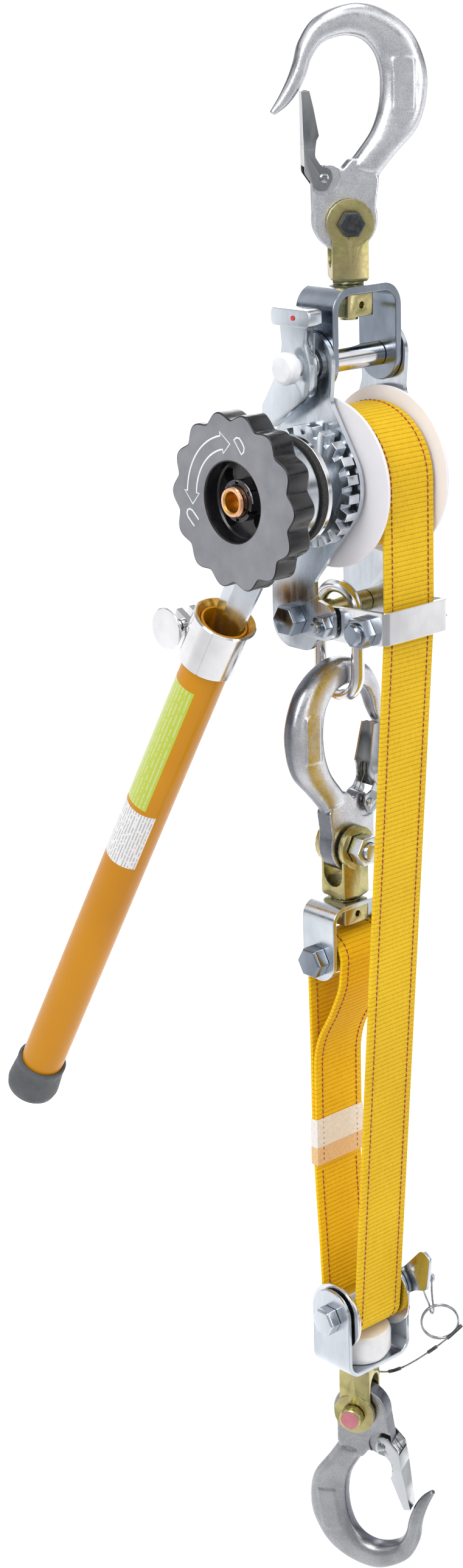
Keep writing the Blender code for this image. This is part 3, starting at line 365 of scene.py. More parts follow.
def floor_material():
    """A painted pool of light that also glows: pale behind the object and grey in front of it, where the
    metals reflect it.
    """
    made = Finish("floor_finish", roughness=0.8)
    split = made.node("ShaderNodeSeparateXYZ")
    made.link(made.place, split.inputs[0])
    along = made.node("ShaderNodeVectorMath")
    along.operation = "DOT_PRODUCT"
    made.link(made.place, along.inputs[0])
    along.inputs[1].default_value = (-math.sin(CAMERA_AZIMUTH), math.cos(CAMERA_AZIMUTH), 0)
    depth = made.spread(along.outputs["Value"], 0.0, 1.0, -1.6, 0.5)
    grain = made.colours(made.noise(0.6, 2), [(0.3, (0.78, 0.78, 0.78)), (0.7, (0.8, 0.8, 0.8))])
    made.colour(made.mix(depth, (0.48, 0.48, 0.49), grain))
    # Painted light: the floor glows, dim in front of the object and bright behind it.
    made.link(made.mix(depth, (0.15, 0.15, 0.155), (1, 1, 1)), made.shader.inputs["Emission Color"])
    made.shader.inputs["Emission Strength"].default_value = 0.6
    return made.material


# The valley colours are painted shade between the ribs.
YELLOW = dict(valley_shade=(0.42, 0.22, 0.005), hump=(0.88, 0.55, 0.012), fleck=(0.98, 0.68, 0.04))
# A deeper orange copy of the same webbing: painted shade for the back leg and the sewn loop.
SHADED_ORANGE = dict(valley_shade=(0.55, 0.23, 0.003), hump=(0.96, 0.58, 0.006), fleck=(1.0, 0.7, 0.02))

MATERIALS = {
    "forged": forged_steel(),
    # Painted light and shade: a lighter copy of the forged finish for the top hook and a darker copy for the
    # bottom hook.
    "forged_painted_lit": forged_steel("forged_painted_lit_finish", (0.78, 0.79, 0.82), (0.95, 0.96, 0.98)),
    "forged_painted_shade": forged_steel("forged_painted_shade_finish", (0.32, 0.325, 0.34), (0.46, 0.465, 0.48)),
    "zinc": zinc("zinc_finish", (0.42, 0.46, 0.51), (0.68, 0.72, 0.76), 0.16, 0.3),
    "dark_zinc": zinc("dark_zinc_finish", (0.13, 0.16, 0.2), (0.3, 0.34, 0.4), 0.14, 0.26),
    "latch_zinc": zinc("latch_zinc_finish", (0.12, 0.13, 0.14), (0.34, 0.36, 0.37), 0.14, 0.26),
    "pearl": plain_plastic("pearl_finish", (0.8, 0.79, 0.79), (0.88, 0.87, 0.87), 0.25),
    "polished": surface(
        "polished_finish", (40, 3), two((0.66, 0.66, 0.67), (0.8, 0.8, 0.81)), 1.0,
        rough=(1400, 2, (1, 1, 0.05), 0.08, 0.2), bumps=[(1600, 1, (1, 1, 0.05), 0.06, 0.0001)]),
    "yellow_zinc": surface(
        "yellow_zinc_finish", (55, 4), [
            (0.3, (0.30, 0.27, 0.11)), (0.45, (0.46, 0.42, 0.18)), (0.58, (0.5, 0.42, 0.2)),
            (0.72, (0.38, 0.37, 0.16))], 1.0,
        rough=(400, 3, 0.22, 0.38), bumps=[(900, 2, 0.2, 0.0002)], worn=((0.7, 0.64, 0.4), 0.55)),
    "dark_steel": surface(
        "dark_steel_finish", (300, 3), two((0.035, 0.04, 0.045), (0.08, 0.085, 0.09)), 0.9,
        rough=(600, 3, 0.3, 0.5), bumps=[(1500, 2, 0.3, 0.0003)], worn=((0.4, 0.4, 0.42), 0.5)),
    "spring": surface(
        "spring_wire_finish", (300, 2), two((0.28, 0.29, 0.3), (0.5, 0.51, 0.53)), 1.0,
        rough=(800, 2, 0.18, 0.3)),
    "drum": surface(
        "drum_plastic_finish", (25, 3), two((0.83, 0.81, 0.85), (0.9, 0.885, 0.92)), roughness=0.38,
        rough=(350, 3, 0.33, 0.48), bumps=[(500, 3, 0.08, 0.0003)],
        inputs={"Subsurface Weight": 0.25, "Subsurface Radius": (1.0, 0.9, 1.0), "Subsurface Scale": 0.006}),
    "wheel_face": surface(
        "wheel_face_finish", (70, 5), two((0.20, 0.20, 0.225), (0.26, 0.26, 0.285)), roughness=0.45,
        rough=(500, 3, 0.38, 0.52), bumps=[(1800, 2, 0.2, 0.0002)]),
    "wheel_rim": surface(
        "wheel_rim_finish", (120, 3), two((0.006, 0.006, 0.007), (0.014, 0.014, 0.016)), roughness=0.2,
        rough=(260, 3, 0.16, 0.3), bumps=[(700, 2, 0.1, 0.0003)]),
    "lining": surface(
        "lining_finish", (900, 3), two((0.012, 0.012, 0.012), (0.04, 0.038, 0.036), 0.35), roughness=0.7,
        bumps=[(1500, 3, 0.5, 0.0004)]),
    "copper": surface(
        "copper_finish", (90, 3), two((0.72, 0.36, 0.2), (0.9, 0.56, 0.38)), 1.0,
        rough=(600, 2, 0.15, 0.28), bumps=[(1200, 2, 0.1, 0.0002)]),
    "brass": surface(
        "brass_bore_finish", (200, 3), two((0.5, 0.26, 0.04), (0.75, 0.45, 0.1)), 1.0,
        rough=(500, 2, 0.3, 0.45)),
    "amber": surface(
        "amber_paint_finish", (9, 3), two((0.56, 0.225, 0.002), (0.65, 0.275, 0.004)),
        rough=(220, 2, 0.28, 0.4), bumps=[(260, 2, 0.05, 0.0004)],
        inputs={"Specular IOR Level": 0.08, "Coat Weight": 0.3, "Coat Roughness": 0.06}),
    "rubber": surface(
        "grey_rubber_finish", (60, 4), two((0.065, 0.07, 0.078), (0.10, 0.105, 0.115)), roughness=0.6,
        rough=(400, 3, 0.5, 0.7), bumps=[(1300, 3, 0.3, 0.0003)]),
    "webbing": webbing("webbing_finish", **YELLOW),
    "webbing_shaded": webbing("webbing_shaded_finish", **SHADED_ORANGE),
    "thread": thread("thread_finish", (0.24, 0.035, 0.006), (0.38, 0.07, 0.01)),
    "thread_orange": thread("thread_orange_finish", (0.55, 0.2, 0.01), (0.8, 0.36, 0.02)),
    "tape_white": thread("tape_white_finish", (0.8, 0.74, 0.66), (0.92, 0.9, 0.86)),
    "tape_peach": thread("tape_peach_finish", (0.78, 0.48, 0.2), (0.88, 0.6, 0.3)),
    "mark_white": plain_plastic("mark_white_finish", (0.8, 0.8, 0.82), (0.9, 0.9, 0.92), 0.4),
    "mark_red": plain_plastic("mark_red_finish", (0.55, 0.02, 0.03), (0.7, 0.04, 0.05), 0.35),
    "mark_pink": plain_plastic("mark_pink_finish", (0.48, 0.14, 0.18), (0.6, 0.21, 0.25), 0.4),
    # Painted highlight: the upper bolt, bright zinc, is painted near white for the glare on its head.
    "painted_glare": plain_plastic("painted_glare_finish", (0.8, 0.81, 0.83), (0.9, 0.91, 0.93), 0.3),
    "label_lime": label("label_lime_finish", (0.48, 0.58, 0.03), (0.62, 0.66, 0.3), 3.1, 0.3),
    "label_white": label("label_white_finish", (0.82, 0.81, 0.8), (0.45, 0.44, 0.44), 2.2, 0.4),
}


# ---------------------------------------------------------------- mesh helpers

def basis(origin, along, up):
    matrix = Matrix((along, up, along.cross(up))).transposed().to_4x4()
    matrix.translation = Vector(origin) * MM
    return matrix


def axis_basis(origin, axis):
    side = X_AXIS if abs(axis.x) < 0.9 else Y_AXIS
    along = side.cross(axis).normalized()
    return basis(origin, along, axis.cross(along))


def yz_plane(x=0.0):
    return basis((x, 0, 0), Y_AXIS, Z_AXIS)


def filleted(corners, step=6.0):
    """The outline of (x, y, radius) corners, each rounded by an arc with a point every step degrees."""
    points = []
    count = len(corners)
    for i, (x, y, radius) in enumerate(corners):
        here = Vector((x, y))
        if not radius:
            points.append(here)
            continue
        back = (Vector(corners[i - 1][:2]) - here).normalized()
        ahead = (Vector(corners[(i + 1) % count][:2]) - here).normalized()
        half = back.angle(ahead) / 2
        centre = here + (back + ahead).normalized() * radius / math.sin(half)
        start = here + back * radius / math.tan(half) - centre
        sweep = start.angle_signed(here + ahead * radius / math.tan(half) - centre)
        arcs = max(1, round(abs(math.degrees(sweep)) / step))
        for k in range(arcs + 1):
            points.append(centre + Matrix.Rotation(-sweep * k / arcs, 2) @ start)
    return points


def arc(centre, radius, start, end, count):
    angles = [math.radians(start + (end - start) * i / count) for i in range(count + 1)]
    return [Vector((centre[0] + radius * math.cos(a), centre[1] + radius * math.sin(a))) for a in angles]


def circle(centre, radius, count=48):
    return arc(centre, radius, 0, 360, count)[:-1]


def smooth_path(points, per_span):
    """Points on a Catmull-Rom curve through the given ones."""
    ends = [2 * points[0] - points[1], *points, 2 * points[-1] - points[-2]]
    path = []
    for a, b, c, d in zip(ends, ends[1:], ends[2:], ends[3:]):
        for k in range(per_span):
            t = k / per_span
            path.append(0.5 * (2 * b + (c - a) * t + (2 * a - 5 * b + 4 * c - d) * t * t
                               + (3 * b - 3 * c + d - a) * t ** 3))
    path.append(points[-1])
    return path


def mesh_of(bm, matrix=None, weld=1e-7):
    """Ends a bmesh: welded, facing out and, with a matrix, moved into the frame's axes."""
    bmesh.ops.remove_doubles(bm, verts=bm.verts, dist=weld)
    bmesh.ops.recalc_face_normals(bm, faces=bm.faces)
    mesh = bpy.data.meshes.new("mesh")
    bm.to_mesh(mesh)
    bm.free()
    if matrix is not None:
        mesh.transform(matrix)
    return mesh


def add_loft(bm, rings, closed=False, material=0, capped=True):
    layers = [[bm.verts.new(Vector(point) * MM) for point in ring] for ring in rings]
    pairs = list(zip(layers, layers[1:]))
    if closed:
        pairs.append((layers[-1], layers[0]))
    elif capped:
        bm.faces.new(layers[0]).material_index = material
        bm.faces.new(layers[-1]).material_index = material
    for low, high in pairs:
        for i in range(len(low)):
            j = (i + 1) % len(low)
            bm.faces.new((low[i], low[j], high[j], high[i])).material_index = material
    return layers


def loft(rings, matrix=None, closed=False):
    bm = bmesh.new()
    add_loft(bm, rings, closed)
    return mesh_of(bm, matrix)


def turned(profile, matrix, steps=96, closed=True):
    """A turned mesh about local z from (radius, height) points. An open profile ends on the axis."""
    bm = bmesh.new()
    rings = []
    for i in range(steps):
        angle = math.tau * i / steps
        rings.append([(r * math.cos(angle), r * math.sin(angle), h) for r, h in profile])
    layers = [[bm.verts.new(Vector(point) * MM) for point in ring] for ring in rings]
    last = len(profile) if closed else len(profile) - 1
    for low, high in zip(layers, layers[1:] + layers[:1]):
        for i in range(last):
            j = (i + 1) % len(profile)
            corners = [low[i], low[j], high[j], high[i]]
            if profile[i][0] == 0:
                corners = [low[i], low[j], high[j]]
            elif profile[j][0] == 0:
                corners = [low[i], low[j], high[i]]
            bm.faces.new(corners)
    return mesh_of(bm, matrix)


def applied(obj, *helpers):
    """An object's mesh with its modifiers applied. The object and its helpers are removed."""
    bpy.context.view_layer.update()
    mesh = bpy.data.meshes.new_from_object(obj.evaluated_get(bpy.context.evaluated_depsgraph_get()))
    for each in (obj, *helpers):
        bpy.data.objects.remove(each)
    return mesh


def flattened(mesh, matrix=None):
    """A mesh with its flat areas' inner edges dissolved."""
    bm = bmesh.new()
    bm.from_mesh(mesh)
    bmesh.ops.dissolve_limit(bm, angle_limit=math.radians(0.1), verts=bm.verts, edges=bm.edges)
    return mesh_of(bm, matrix, 1e-6)


def from_curve(curve, matrix):
    return flattened(applied(new_object("guide", curve)), matrix)


def plate(loops, thick, matrix):
    """A filled 2D outline with holes, extruded to both sides of its plane."""
    curve = bpy.data.curves.new("plate", "CURVE")
    curve.dimensions = "2D"
    curve.fill_mode = "BOTH"
    curve.extrude = thick / 2 * MM
    for loop in loops:
        spline = curve.splines.new("POLY")
        spline.points.add(len(loop) - 1)
        for point, place in zip(spline.points, loop):
            point.co = (place[0] * MM, place[1] * MM, 0, 1)
        spline.use_cyclic_u = True
    return from_curve(curve, matrix)


def tube_curve(name, points, radius, closed=False, round_by=5):
    curve = bpy.data.curves.new(name, "CURVE")
    curve.dimensions = "3D"
    curve.bevel_depth = radius * MM
    curve.bevel_resolution = round_by
    curve.use_fill_caps = not closed
    spline = curve.splines.new("POLY")
    spline.points.add(len(points) - 1)
    for point, place in zip(spline.points, points):
        point.co = (*(Vector(place) * MM), 1)
    spline.use_cyclic_u = closed
    return curve


def wire(points, radius, matrix=None, closed=False, round_by=5):
    return from_curve(tube_curve("wire", points, radius, closed, round_by), matrix or Matrix())


def rod(radius, low, high, matrix, steps=48):
    return turned([(0, low), (radius, low), (radius, high), (0, high)], matrix, steps, closed=False)


def block(low, high, matrix):
    corners = [(low[0], low[1]), (high[0], low[1]), (high[0], high[1]), (low[0], high[1])]
    return loft([[(x, y, z) for x, y in corners] for z in (low[2], high[2])], matrix)


def combined(mesh, others, operation):
    """A mesh after a Boolean with each of the others in turn."""
    obj = new_object("solid", mesh)
    tools = []
    for other in others:
        modifier = obj.modifiers.new("boolean", "BOOLEAN")
        modifier.operation = operation
        modifier.object = new_object("tool", other)
        tools.append(modifier.object)
    return flattened(applied(obj, *tools))


def minus(mesh, *others):
    return combined(mesh, others, "DIFFERENCE")


def joined(mesh, *others):
    return combined(mesh, others, "UNION")


def common(mesh, *others):
    return combined(mesh, others, "INTERSECT")


def show(name, mesh, kind, body, stands_for=(), edge=0.0, angle=33.0, others=(), paint=None):
    """A finished piece. Its edges get a small radius, and paint(face) picks one of several materials."""
    mesh.name = name
    chosen = [face.material_index for face in mesh.polygons]
    mesh.materials.clear()
    for each in (kind, *others):
        mesh.materials.append(MATERIALS[each])
    for face, index in zip(mesh.polygons, chosen):
        face.material_index = paint(face) if paint else min(index, len(others))
    obj = new_object(name, mesh)
    mesh.shade_smooth()
    if edge:
        bevel = obj.modifiers.new("edges", "BEVEL")
        bevel.width = edge * MM
        bevel.segments = 3
        bevel.limit_method = "ANGLE"
        bevel.angle_limit = math.radians(angle)
        bevel.harden_normals = True
    else:
        mesh.set_sharp_from_angle(angle=math.radians(angle))
    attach(obj, body)
    if stands_for:
        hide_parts(*stands_for)
    return obj


def refined(node, kind, edge):
    """A CAD node's own shape with its edges rounded."""
    bm = bmesh.new()
    bm.from_mesh(NODES[node].data)
    bmesh.ops.remove_doubles(bm, verts=bm.verts, dist=1e-6)
    bmesh.ops.dissolve_limit(bm, angle_limit=math.radians(0.6), verts=bm.verts, edges=bm.edges)
    show(node + "_finish", mesh_of(bm), kind, NODES[node]["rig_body"], (node,), edge)


# ---------------------------------------------------------------- cord

LANYARD_ROUTE = [Vector(point) for point in (
    (55.9, -44.6, -892.8), (51.3, -42.0, -897.2), (46.6, -38.9, -902.1), (42.4, -34.6, -907.4),
    (37.6, -28.2, -914.2), (31.6, -19.6, -922.7), (27.6, -10.4, -930.1), (25.4, -0.6, -936.0),
    (23.2, 10.4, -939.0), (21.0, 19.6, -936.5), (18.2, 22.6, -929.0), (14.4, 19.8, -921.4),
    (10.2, 15.4, -917.2), (8.0, 12.8, -916.7))]
LANYARD_R = 0.75


def make_lanyard():
    points = smooth_path(LANYARD_ROUTE, 5)
    curve = tube_curve("lanyard_cable", points, LANYARD_R)
    cable = new_object("lanyard_cable", curve)
    curve.materials.append(MATERIALS["spring"])
    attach(cable, "block")
    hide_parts("lanyard")
    for index, (start, end) in enumerate(((0, 2), (3.2, 4.1), (6.0, 7.0))):
        stretch = points[round(start * 5):round(end * 5) + 1]
        mesh = wire(stretch, 1.35)
        show(f"lanyard_ferrule_{index + 1}", mesh, "dark_steel", "block", edge=0.3)


make_camera()
make_lanyard()
make_studio()


# ---------------------------------------------------------------- hooks and latches

HOOK_SECTIONS = (
    # outer point, inner point and thickness, from the tip round the bowl to the step above the eye plate
    (-47.6, 68, -44.6, 66, 5), (-41.8, 77, -36.6, 71.5, 8), (-36.5, 87, -30, 79.5, 11),
    (-32.6, 97, -24.8, 89, 13.5), (-28.6, 110, -21, 99.5, 15.5), (-18, 123.6, -13.5, 108.6, 16.5),
    (4, 131.7, 0, 112, 17), (24, 126.8, 11, 108.8, 17), (41, 113.4, 18.2, 100, 17), (50, 93, 21.3, 86.5, 17),
    (50.3, 74, 20.4, 70, 16.8), (44.5, 56, 15.5, 55, 16.8), (31, 41, 7, 43, 16.8), (22.5, 31, 1.5, 36, 16),
    (20.5, 28, 0.5, 33, 13), (19, 24, -1, 28, 8))
HOOK_BOLT_R = 6.3
LATCH_PIN = (-15.5, 28)
HOOKS = {
    # eye centre, turn and tilt of the plane, and whether the bowl is below the eye
    "top_hook": (Vector((0, 0, -112)), -36.0, 0.0, False),
    "mid_hook": (Vector((0, 11, -526)), 180.0, 0.0, False),
    "bottom_hook": (Vector((0, 4, -955)), 115.0, 8.5, True),
}


def hook_basis(hook):
    """Local x points from the eye to the hook's back, and local y from the eye to its bowl."""
    eye, turn, tilt, down = HOOKS[hook]
    turn, tilt = math.radians(turn), math.radians(tilt)
    along = Vector((math.cos(turn), math.sin(turn), 0))
    up = -Z_AXIS if down else Z_AXIS
    back = along * math.cos(tilt) + up * math.sin(tilt)
    return basis(eye, back, up * math.cos(tilt) - along * math.sin(tilt))


def hook_ring(section, count=36):
    outer, inner, thick = Vector(section[:2]), Vector(section[2:4]), section[4]
    middle, half = (outer + inner) / 2, (outer - inner) / 2
    ring = []
    for i in range(count):
        angle = math.tau * i / count
        across = math.copysign(abs(math.cos(angle)) ** 0.8, math.cos(angle))
        deep = math.copysign(abs(math.sin(angle)) ** 0.72, math.sin(angle))
        place = middle + half * across
        ring.append((place.x, place.y, deep * thick / 2))
    return ring


def forged(meshes):
    """Several closed meshes melted into one skin, the way a forging blends them."""
    bm = bmesh.new()
    for mesh in meshes:
        bm.from_mesh(mesh)
    mesh = bpy.data.meshes.new("forging")
    bm.to_mesh(mesh)
    bm.free()
    obj = new_object("forging", mesh)
    remesh = obj.modifiers.new("melt", "REMESH")
    remesh.mode = "VOXEL"
    remesh.voxel_size = 0.75 * MM
    relax = obj.modifiers.new("relax", "SMOOTH")
    relax.factor = 0.5
    relax.iterations = 5
    fewer = obj.modifiers.new("fewer", "DECIMATE")
    fewer.ratio = 0.45
    return applied(obj)


def make_hooks():
    """One forging for the three equal hooks: a stepped eye plate, a round-backed limb and a raised flat.
    A vertex attribute is 1 where the surface turns away from the hook's two faces; the forged finishes paint
    shade there."""
    sections = smooth_path([Vector(section) for section in HOOK_SECTIONS], 8)
    limb = loft([hook_ring(section) for section in sections])
    upright = Matrix()
    eye_plate = filleted([
        (-21, -6, 12), (16, -18, 16), (17.5, 12, 6), (19.6, 26, 2), (14, 37, 4), (2, 39, 5),
        (-4, 32, 3), (-12, 36.5, 5), (-22.5, 27, 5), (-22.2, 8, 6)])
    flat = filleted([(28, 66.5, 1), (41.4, 66.5, 0.6), (41.4, 97, 0.6), (34.6, 99.4, 1), (28, 98, 1)])
    forging = forged([limb, rod(20.4, -6.7, 6.7, Matrix.Translation((-2 * MM, 2 * MM, 0)), 72),
                      plate([eye_plate], 13.4, upright), plate([flat], 17.8, upright)])
    pin_at = Matrix.Translation((LATCH_PIN[0] * MM, LATCH_PIN[1] * MM, 0))
    hook = minus(forging, rod(HOOK_BOLT_R, -20, 20, upright), rod(2.2, -20, 20, pin_at, 24),
                 rod(10.6, 5.2, 20, pin_at), rod(10.6, -20, -5.2, pin_at))
    # Mask for the painted shade on the hook's flanks: 1 where the surface turns away from its two faces.
    flank_shade = hook.attributes.new("flank_shade", "FLOAT", "POINT")
    for vertex in hook.vertices:
        flank_shade.data[vertex.index].value = 1 - abs(vertex.normal.z) ** 0.7
    # The three equal hooks get one forged finish, painted lighter on the top hook and darker on the bottom
    # hook.
    for name, kind in (("top_hook", "forged_painted_lit"), ("mid_hook", "forged"), ("bottom_hook", "forged_painted_shade")):
        placed = hook.copy()
        placed.transform(hook_basis(name))
        show(name + "_forging", placed, kind, NODES[name]["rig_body"], (name,), angle=40)


def channel_section(height, web, flange, half, thick=1.4):
    """A U section at one height on the latch: the web at x = web and the flanges out to x = flange."""
    inner = half - thick
    points = [(web, -half), (flange, -half), (flange, -inner), (web + thick, -inner), (web + thick, inner),
              (flange, inner), (flange, half), (web, half)]
    return [(x, height, z) for x, z in points]


def make_latches():
    """The folded sheet latches: two ears, a channel that narrows towards the tip, and a riveted pin."""
    upright = Matrix()
    ears = filleted([
        (-10.2, 27, 5), (-13.5, 20, 4), (-20, 20, 5), (-27.6, 31, 5), (-27.9, 46, 0), (-20.6, 46, 0),
        (-21, 41, 4), (-17.5, 35.5, 3), (-11, 33, 4)])
    inside = [(-4, 14), (-32, 14), (-32, 35), (-26.4, 35), (-26.4, 52), (-4, 52)]
    sheet = minus(plate([ears], 18.4, upright), plate([inside], 15.8, upright))
    stations = (
        (44.7, -27.75, -20.9, 9.1), (47, -27.8, -20.4, 8.9), (50.5, -27.9, -19.9, 8.6),
        (53.5, -28, -18.2, 8.2), (62, -28.05, -19.7, 7.3), (70.6, -28.1, -21.2, 6.6), (80.3, -28.5, -23.4, 6))
    sheet = joined(sheet, loft([channel_section(*station) for station in stations]))
    pin_at = Matrix.Translation((LATCH_PIN[0] * MM, LATCH_PIN[1] * MM, 0))
    head = [(0, 10.6), (1.6, 10.5), (2.9, 9.9), (3.0, 9.3), (1.9, 9.25)]
    rivet = head + [(radius, -height) for radius, height in reversed(head)]
    latch = joined(sheet, turned(rivet, pin_at, 32, closed=False))
    for name in HOOKS:
        placed = latch.copy()
        placed.transform(hook_basis(name))
        node = name + "_latch"
        show(node + "_sheet", placed, "latch_zinc", NODES[node]["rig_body"], (node,), 0.35)
        make_latch_spring(name, NODES[node]["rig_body"])


def make_latch_spring(hook, body):
    """A torsion spring round the latch pin on each side of the lug, with a leg up the latch's web."""
    count, turns = 20, 2
    for side, name in ((-1, "back"), (1, "front")):
        helix = []
        for i in range(turns * count + 1):
            angle = math.radians(150) - math.tau * i / count
            reach = side * (6.0 + 1.1 * i / count)
            x = LATCH_PIN[0] + 3.6 * math.cos(angle)
            helix.append(Vector((x, LATCH_PIN[1] + 3.6 * math.sin(angle), reach)))
        path = [Vector((-25.4, 50, side * 5.6)), Vector((-25.2, 42, side * 5.8)), *helix]
        show(f"{hook}_latch_spring_{name}", wire(path, 0.45, hook_basis(hook), round_by=3), "spring", body)


# ---------------------------------------------------------------- folded and flat steel

UPPER_BOLT = Vector((0, 0, -197))
DRUM = Vector((0, -6, -272))
LOWER_Z = -364.0
ANCHOR_PIN = Vector((0, 9.4, -602))
SHEAVE = Vector((0, 1, -871))
BOLT_BORE = 6.3
STEM_BORE = 6.5
SHAFT_BORE = 10.3


def u_outline(half, top, bottom, thick, radius, upward):
    sign = 1 if upward else -1
    outer = filleted([(-half, bottom, 0), (-half, top, radius), (half, top, radius), (half, bottom, 0)])
    inner_top = top - sign * thick
    inner = filleted([(half - thick, bottom, 0), (half - thick, inner_top, radius - thick),
                      (thick - half, inner_top, radius - thick), (thick - half, bottom, 0)])
    return outer + inner


def folded(u_points, side, bores):
    """A sheet folded to a U across X, trimmed to a side outline in the YZ plane and bored."""
    sheet = plate([u_points], 120, basis((0, 0, 0), X_AXIS, Z_AXIS))
    return minus(common(sheet, plate([side], 120, yz_plane())), *bores)


def bore_x(place, radius):
    return rod(radius, -150, 150, axis_basis((0, place[1], place[2]), X_AXIS))


def tube_x(place, outer, inner, low, high, steps=96):
    profile = [(outer, high), (outer, low), (inner, low), (inner, high)]
    return turned(profile, axis_basis((0, place[1], place[2]), X_AXIS), steps)


def make_bail():
    half, low = 17.0, -214.0
    side = filleted([(-half, -145, 0), (half, -145, 0), (half, low, half - 0.2), (-half, low, half - 0.2)])
    mesh = folded(u_outline(30.4, -150, low - 5, 5, 15, True), side,
                  [bore_x(UPPER_BOLT, BOLT_BORE), rod(STEM_BORE, -170, -140, Matrix())])
    show("bail_strap", mesh, "dark_zinc", "bail", ("bail",), 0.9)


def make_side_plates():
    corners = [
        (-21, -176, 20), (21, -176, 20), (20, -216, 12), (36, -258, 30), (31, -312, 25), (40, -335, 15),
        (40, -384, 17), (5, -384, 10), (-1, -374.5, 5), (-16.5, -374.5, 8), (-16.5, -352, 8), (0, -348, 4),
        (0, -336, 6), (-51, -274, 36), (-17, -219, 10)]
    loops = [filleted(corners), circle(UPPER_BOLT.yz, BOLT_BORE), circle(DRUM.yz, SHAFT_BORE),
             circle((19, LOWER_Z), BOLT_BORE), circle((-9.5, LOWER_Z), 4.3)]
    for node, middle in (("side_plate_left", -32.6), ("side_plate_right", 32.6)):
        show(node + "_sheet", plate(loops, 3.2, yz_plane(middle)), "zinc", "frame", (node,), 0.6)


def make_guide():
    x, front, thick = 28.9, -58.8, 3.0
    within = x - thick
    outline = filleted([
        (-x, -2, 0), (-x, front, 4), (x, front, 4), (x, -2, 0), (within, -2, 0), (within, front + thick, 1.2),
        (-within, front + thick, 1.2), (-within, -2, 0)])
    side = filleted([
        (front - 2, -349.3, 0), (front + 5, -349.3, 0), (-34, -350.5, 6), (-2, -353, 9),
        (-2, -374.5, 9), (-34, -374.5, 6), (front - 2, -370.3, 0)])
    sheet = plate([outline], 28, basis((0, 0, -361), X_AXIS, Y_AXIS))
    mesh = minus(common(sheet, plate([side], 90, yz_plane())), bore_x((0, -9.5, LOWER_Z), 4.3),
                 bore_x((0, -39.5, LOWER_Z), 5.3))
    show("strap_guide_sheet", mesh, "polished", "frame", ("strap_guide",), 0.5)


def make_ring():
    y, half, top, bottom = 13.5, 17.5, -365.0, -404.5
    points = arc((y, top), half, 0, 180, 28) + arc((y, bottom), half, 180, 360, 28)
    mesh = wire([(0, point.x, point.y) for point in points], 4.5, closed=True, round_by=7)
    show("connecting_ring_bar", mesh, "polished", "frame", ("connecting_ring",))


def make_spacers():
    for name, place, radius, half, kind, edge in (
            ("upper_spacer", UPPER_BOLT, 7.75, 25, "polished", 0.4),
            ("lower_spacer", (0, 19, LOWER_Z), 7.2, 30.6, "yellow_zinc", 0.3),
            ("anchor_roller", ANCHOR_PIN, 13, 23.6, "polished", 0.5)):
        show(name + "_tube", tube_x(place, radius, BOLT_BORE, -half, half), kind, "frame", (name,), edge)


def make_anchor_bracket():
    low, y = ANCHOR_PIN.z - 15, ANCHOR_PIN.y
    side = filleted([(y - 15, -558, 0), (y + 15, -558, 0), (y + 15, low, 14.6), (y - 15, low, 14.6)])
    stem = rod(STEM_BORE, -575, -550, Matrix.Translation((0, 11 * MM, 0)))
    mesh = folded(u_outline(28, -563.3, low - 5, 3.2, 11, True), side, [bore_x(ANCHOR_PIN, BOLT_BORE), stem])
    show("anchor_bracket_sheet", mesh, "zinc", "frame", ("anchor_bracket",), 0.6)


def make_block_frame():
    side = filleted([(-17.5, -917, 0), (19.4, -917, 0), (19.4, -850, 17.5), (-16.4, -850, 17.5)])
    mesh = folded(u_outline(30.5, -914, -841, 3.2, 11, False), side,
                  [bore_x(SHEAVE, BOLT_BORE), rod(STEM_BORE, -925, -905, Matrix.Translation((0, 4 * MM, 0)))])
    show("block_frame_sheet", mesh, "zinc", "block", ("block_frame",), 0.7)
    inner, outer = 23.65, 25.65
    profile = [(24, outer), (24, inner), (14, inner), (14, -inner), (24, -inner), (24, -outer),
               (BOLT_BORE, -outer), (BOLT_BORE, outer)]
    show("sheave_wheel", turned(profile, axis_basis(SHEAVE, X_AXIS)), "polished", "sheave", ("sheave",), 0.5)


def make_boss():
    """The round pearl boss on the bottom clevis' stem, under the strap's bend."""
    profile = [(6.3, -910.4), (20, -910.4), (23, -905), (23, -892), (22.2, -889.8), (21, -889), (6.3, -889)]
    mesh = turned(profile, Matrix.Translation((0, 4 * MM, 0)))
    show("bottom_swivel_boss", mesh, "pearl", "bottom_swivel", ("bottom_swivel_nut",), 0.3)


# ---------------------------------------------------------------- drum, brake and handwheel

def make_drum():
    profile = [(55, 27.5), (55, 25.5), (26, 24.5), (25, 23.5), (25, -23.5), (26, -24.5), (55, -25.5),
               (55, -27.5), (SHAFT_BORE, -27.5), (SHAFT_BORE, 27.5)]
    show("drum_spool", turned(profile, axis_basis(DRUM, X_AXIS), 144), "drum", "drum", ("drum",), 0.8)


def make_shaft():
    profile = [(0, 42), (10.5, 42), (13, 40), (13, 34.5), (10, 34.5), (10, -108.6), (9, -110), (7.2, -110),
               (6.4, -109), (6.4, -98), (0, -98)]
    mesh = turned(profile[::-1], axis_basis(DRUM, X_AXIS), 64, closed=False)

    def paint(face):
        spot = face.center - DRUM * MM
        return 1 if math.hypot(spot.y, spot.z) < 6.9 * MM and spot.x < -97 * MM else 0
    show("drum_shaft_turning", mesh, "copper", "drum", ("drum_shaft",), 0.25, others=("brass",), paint=paint)
    nut = plate([castle_outline(), circle((0, 0), 10.4)], 7, axis_basis(DRUM - X_AXIS * 101.3, X_AXIS))
    show("castle_nut", nut, "dark_steel", "drum", (), 0.4)
    pin = [(-103.5, point.x, point.y) for point in arc((0, 0), 12.8, -60, 180, 24)]
    show("cotter_pin", wire(pin, 0.9, Matrix.Translation(DRUM * MM), round_by=3), "spring", "drum")


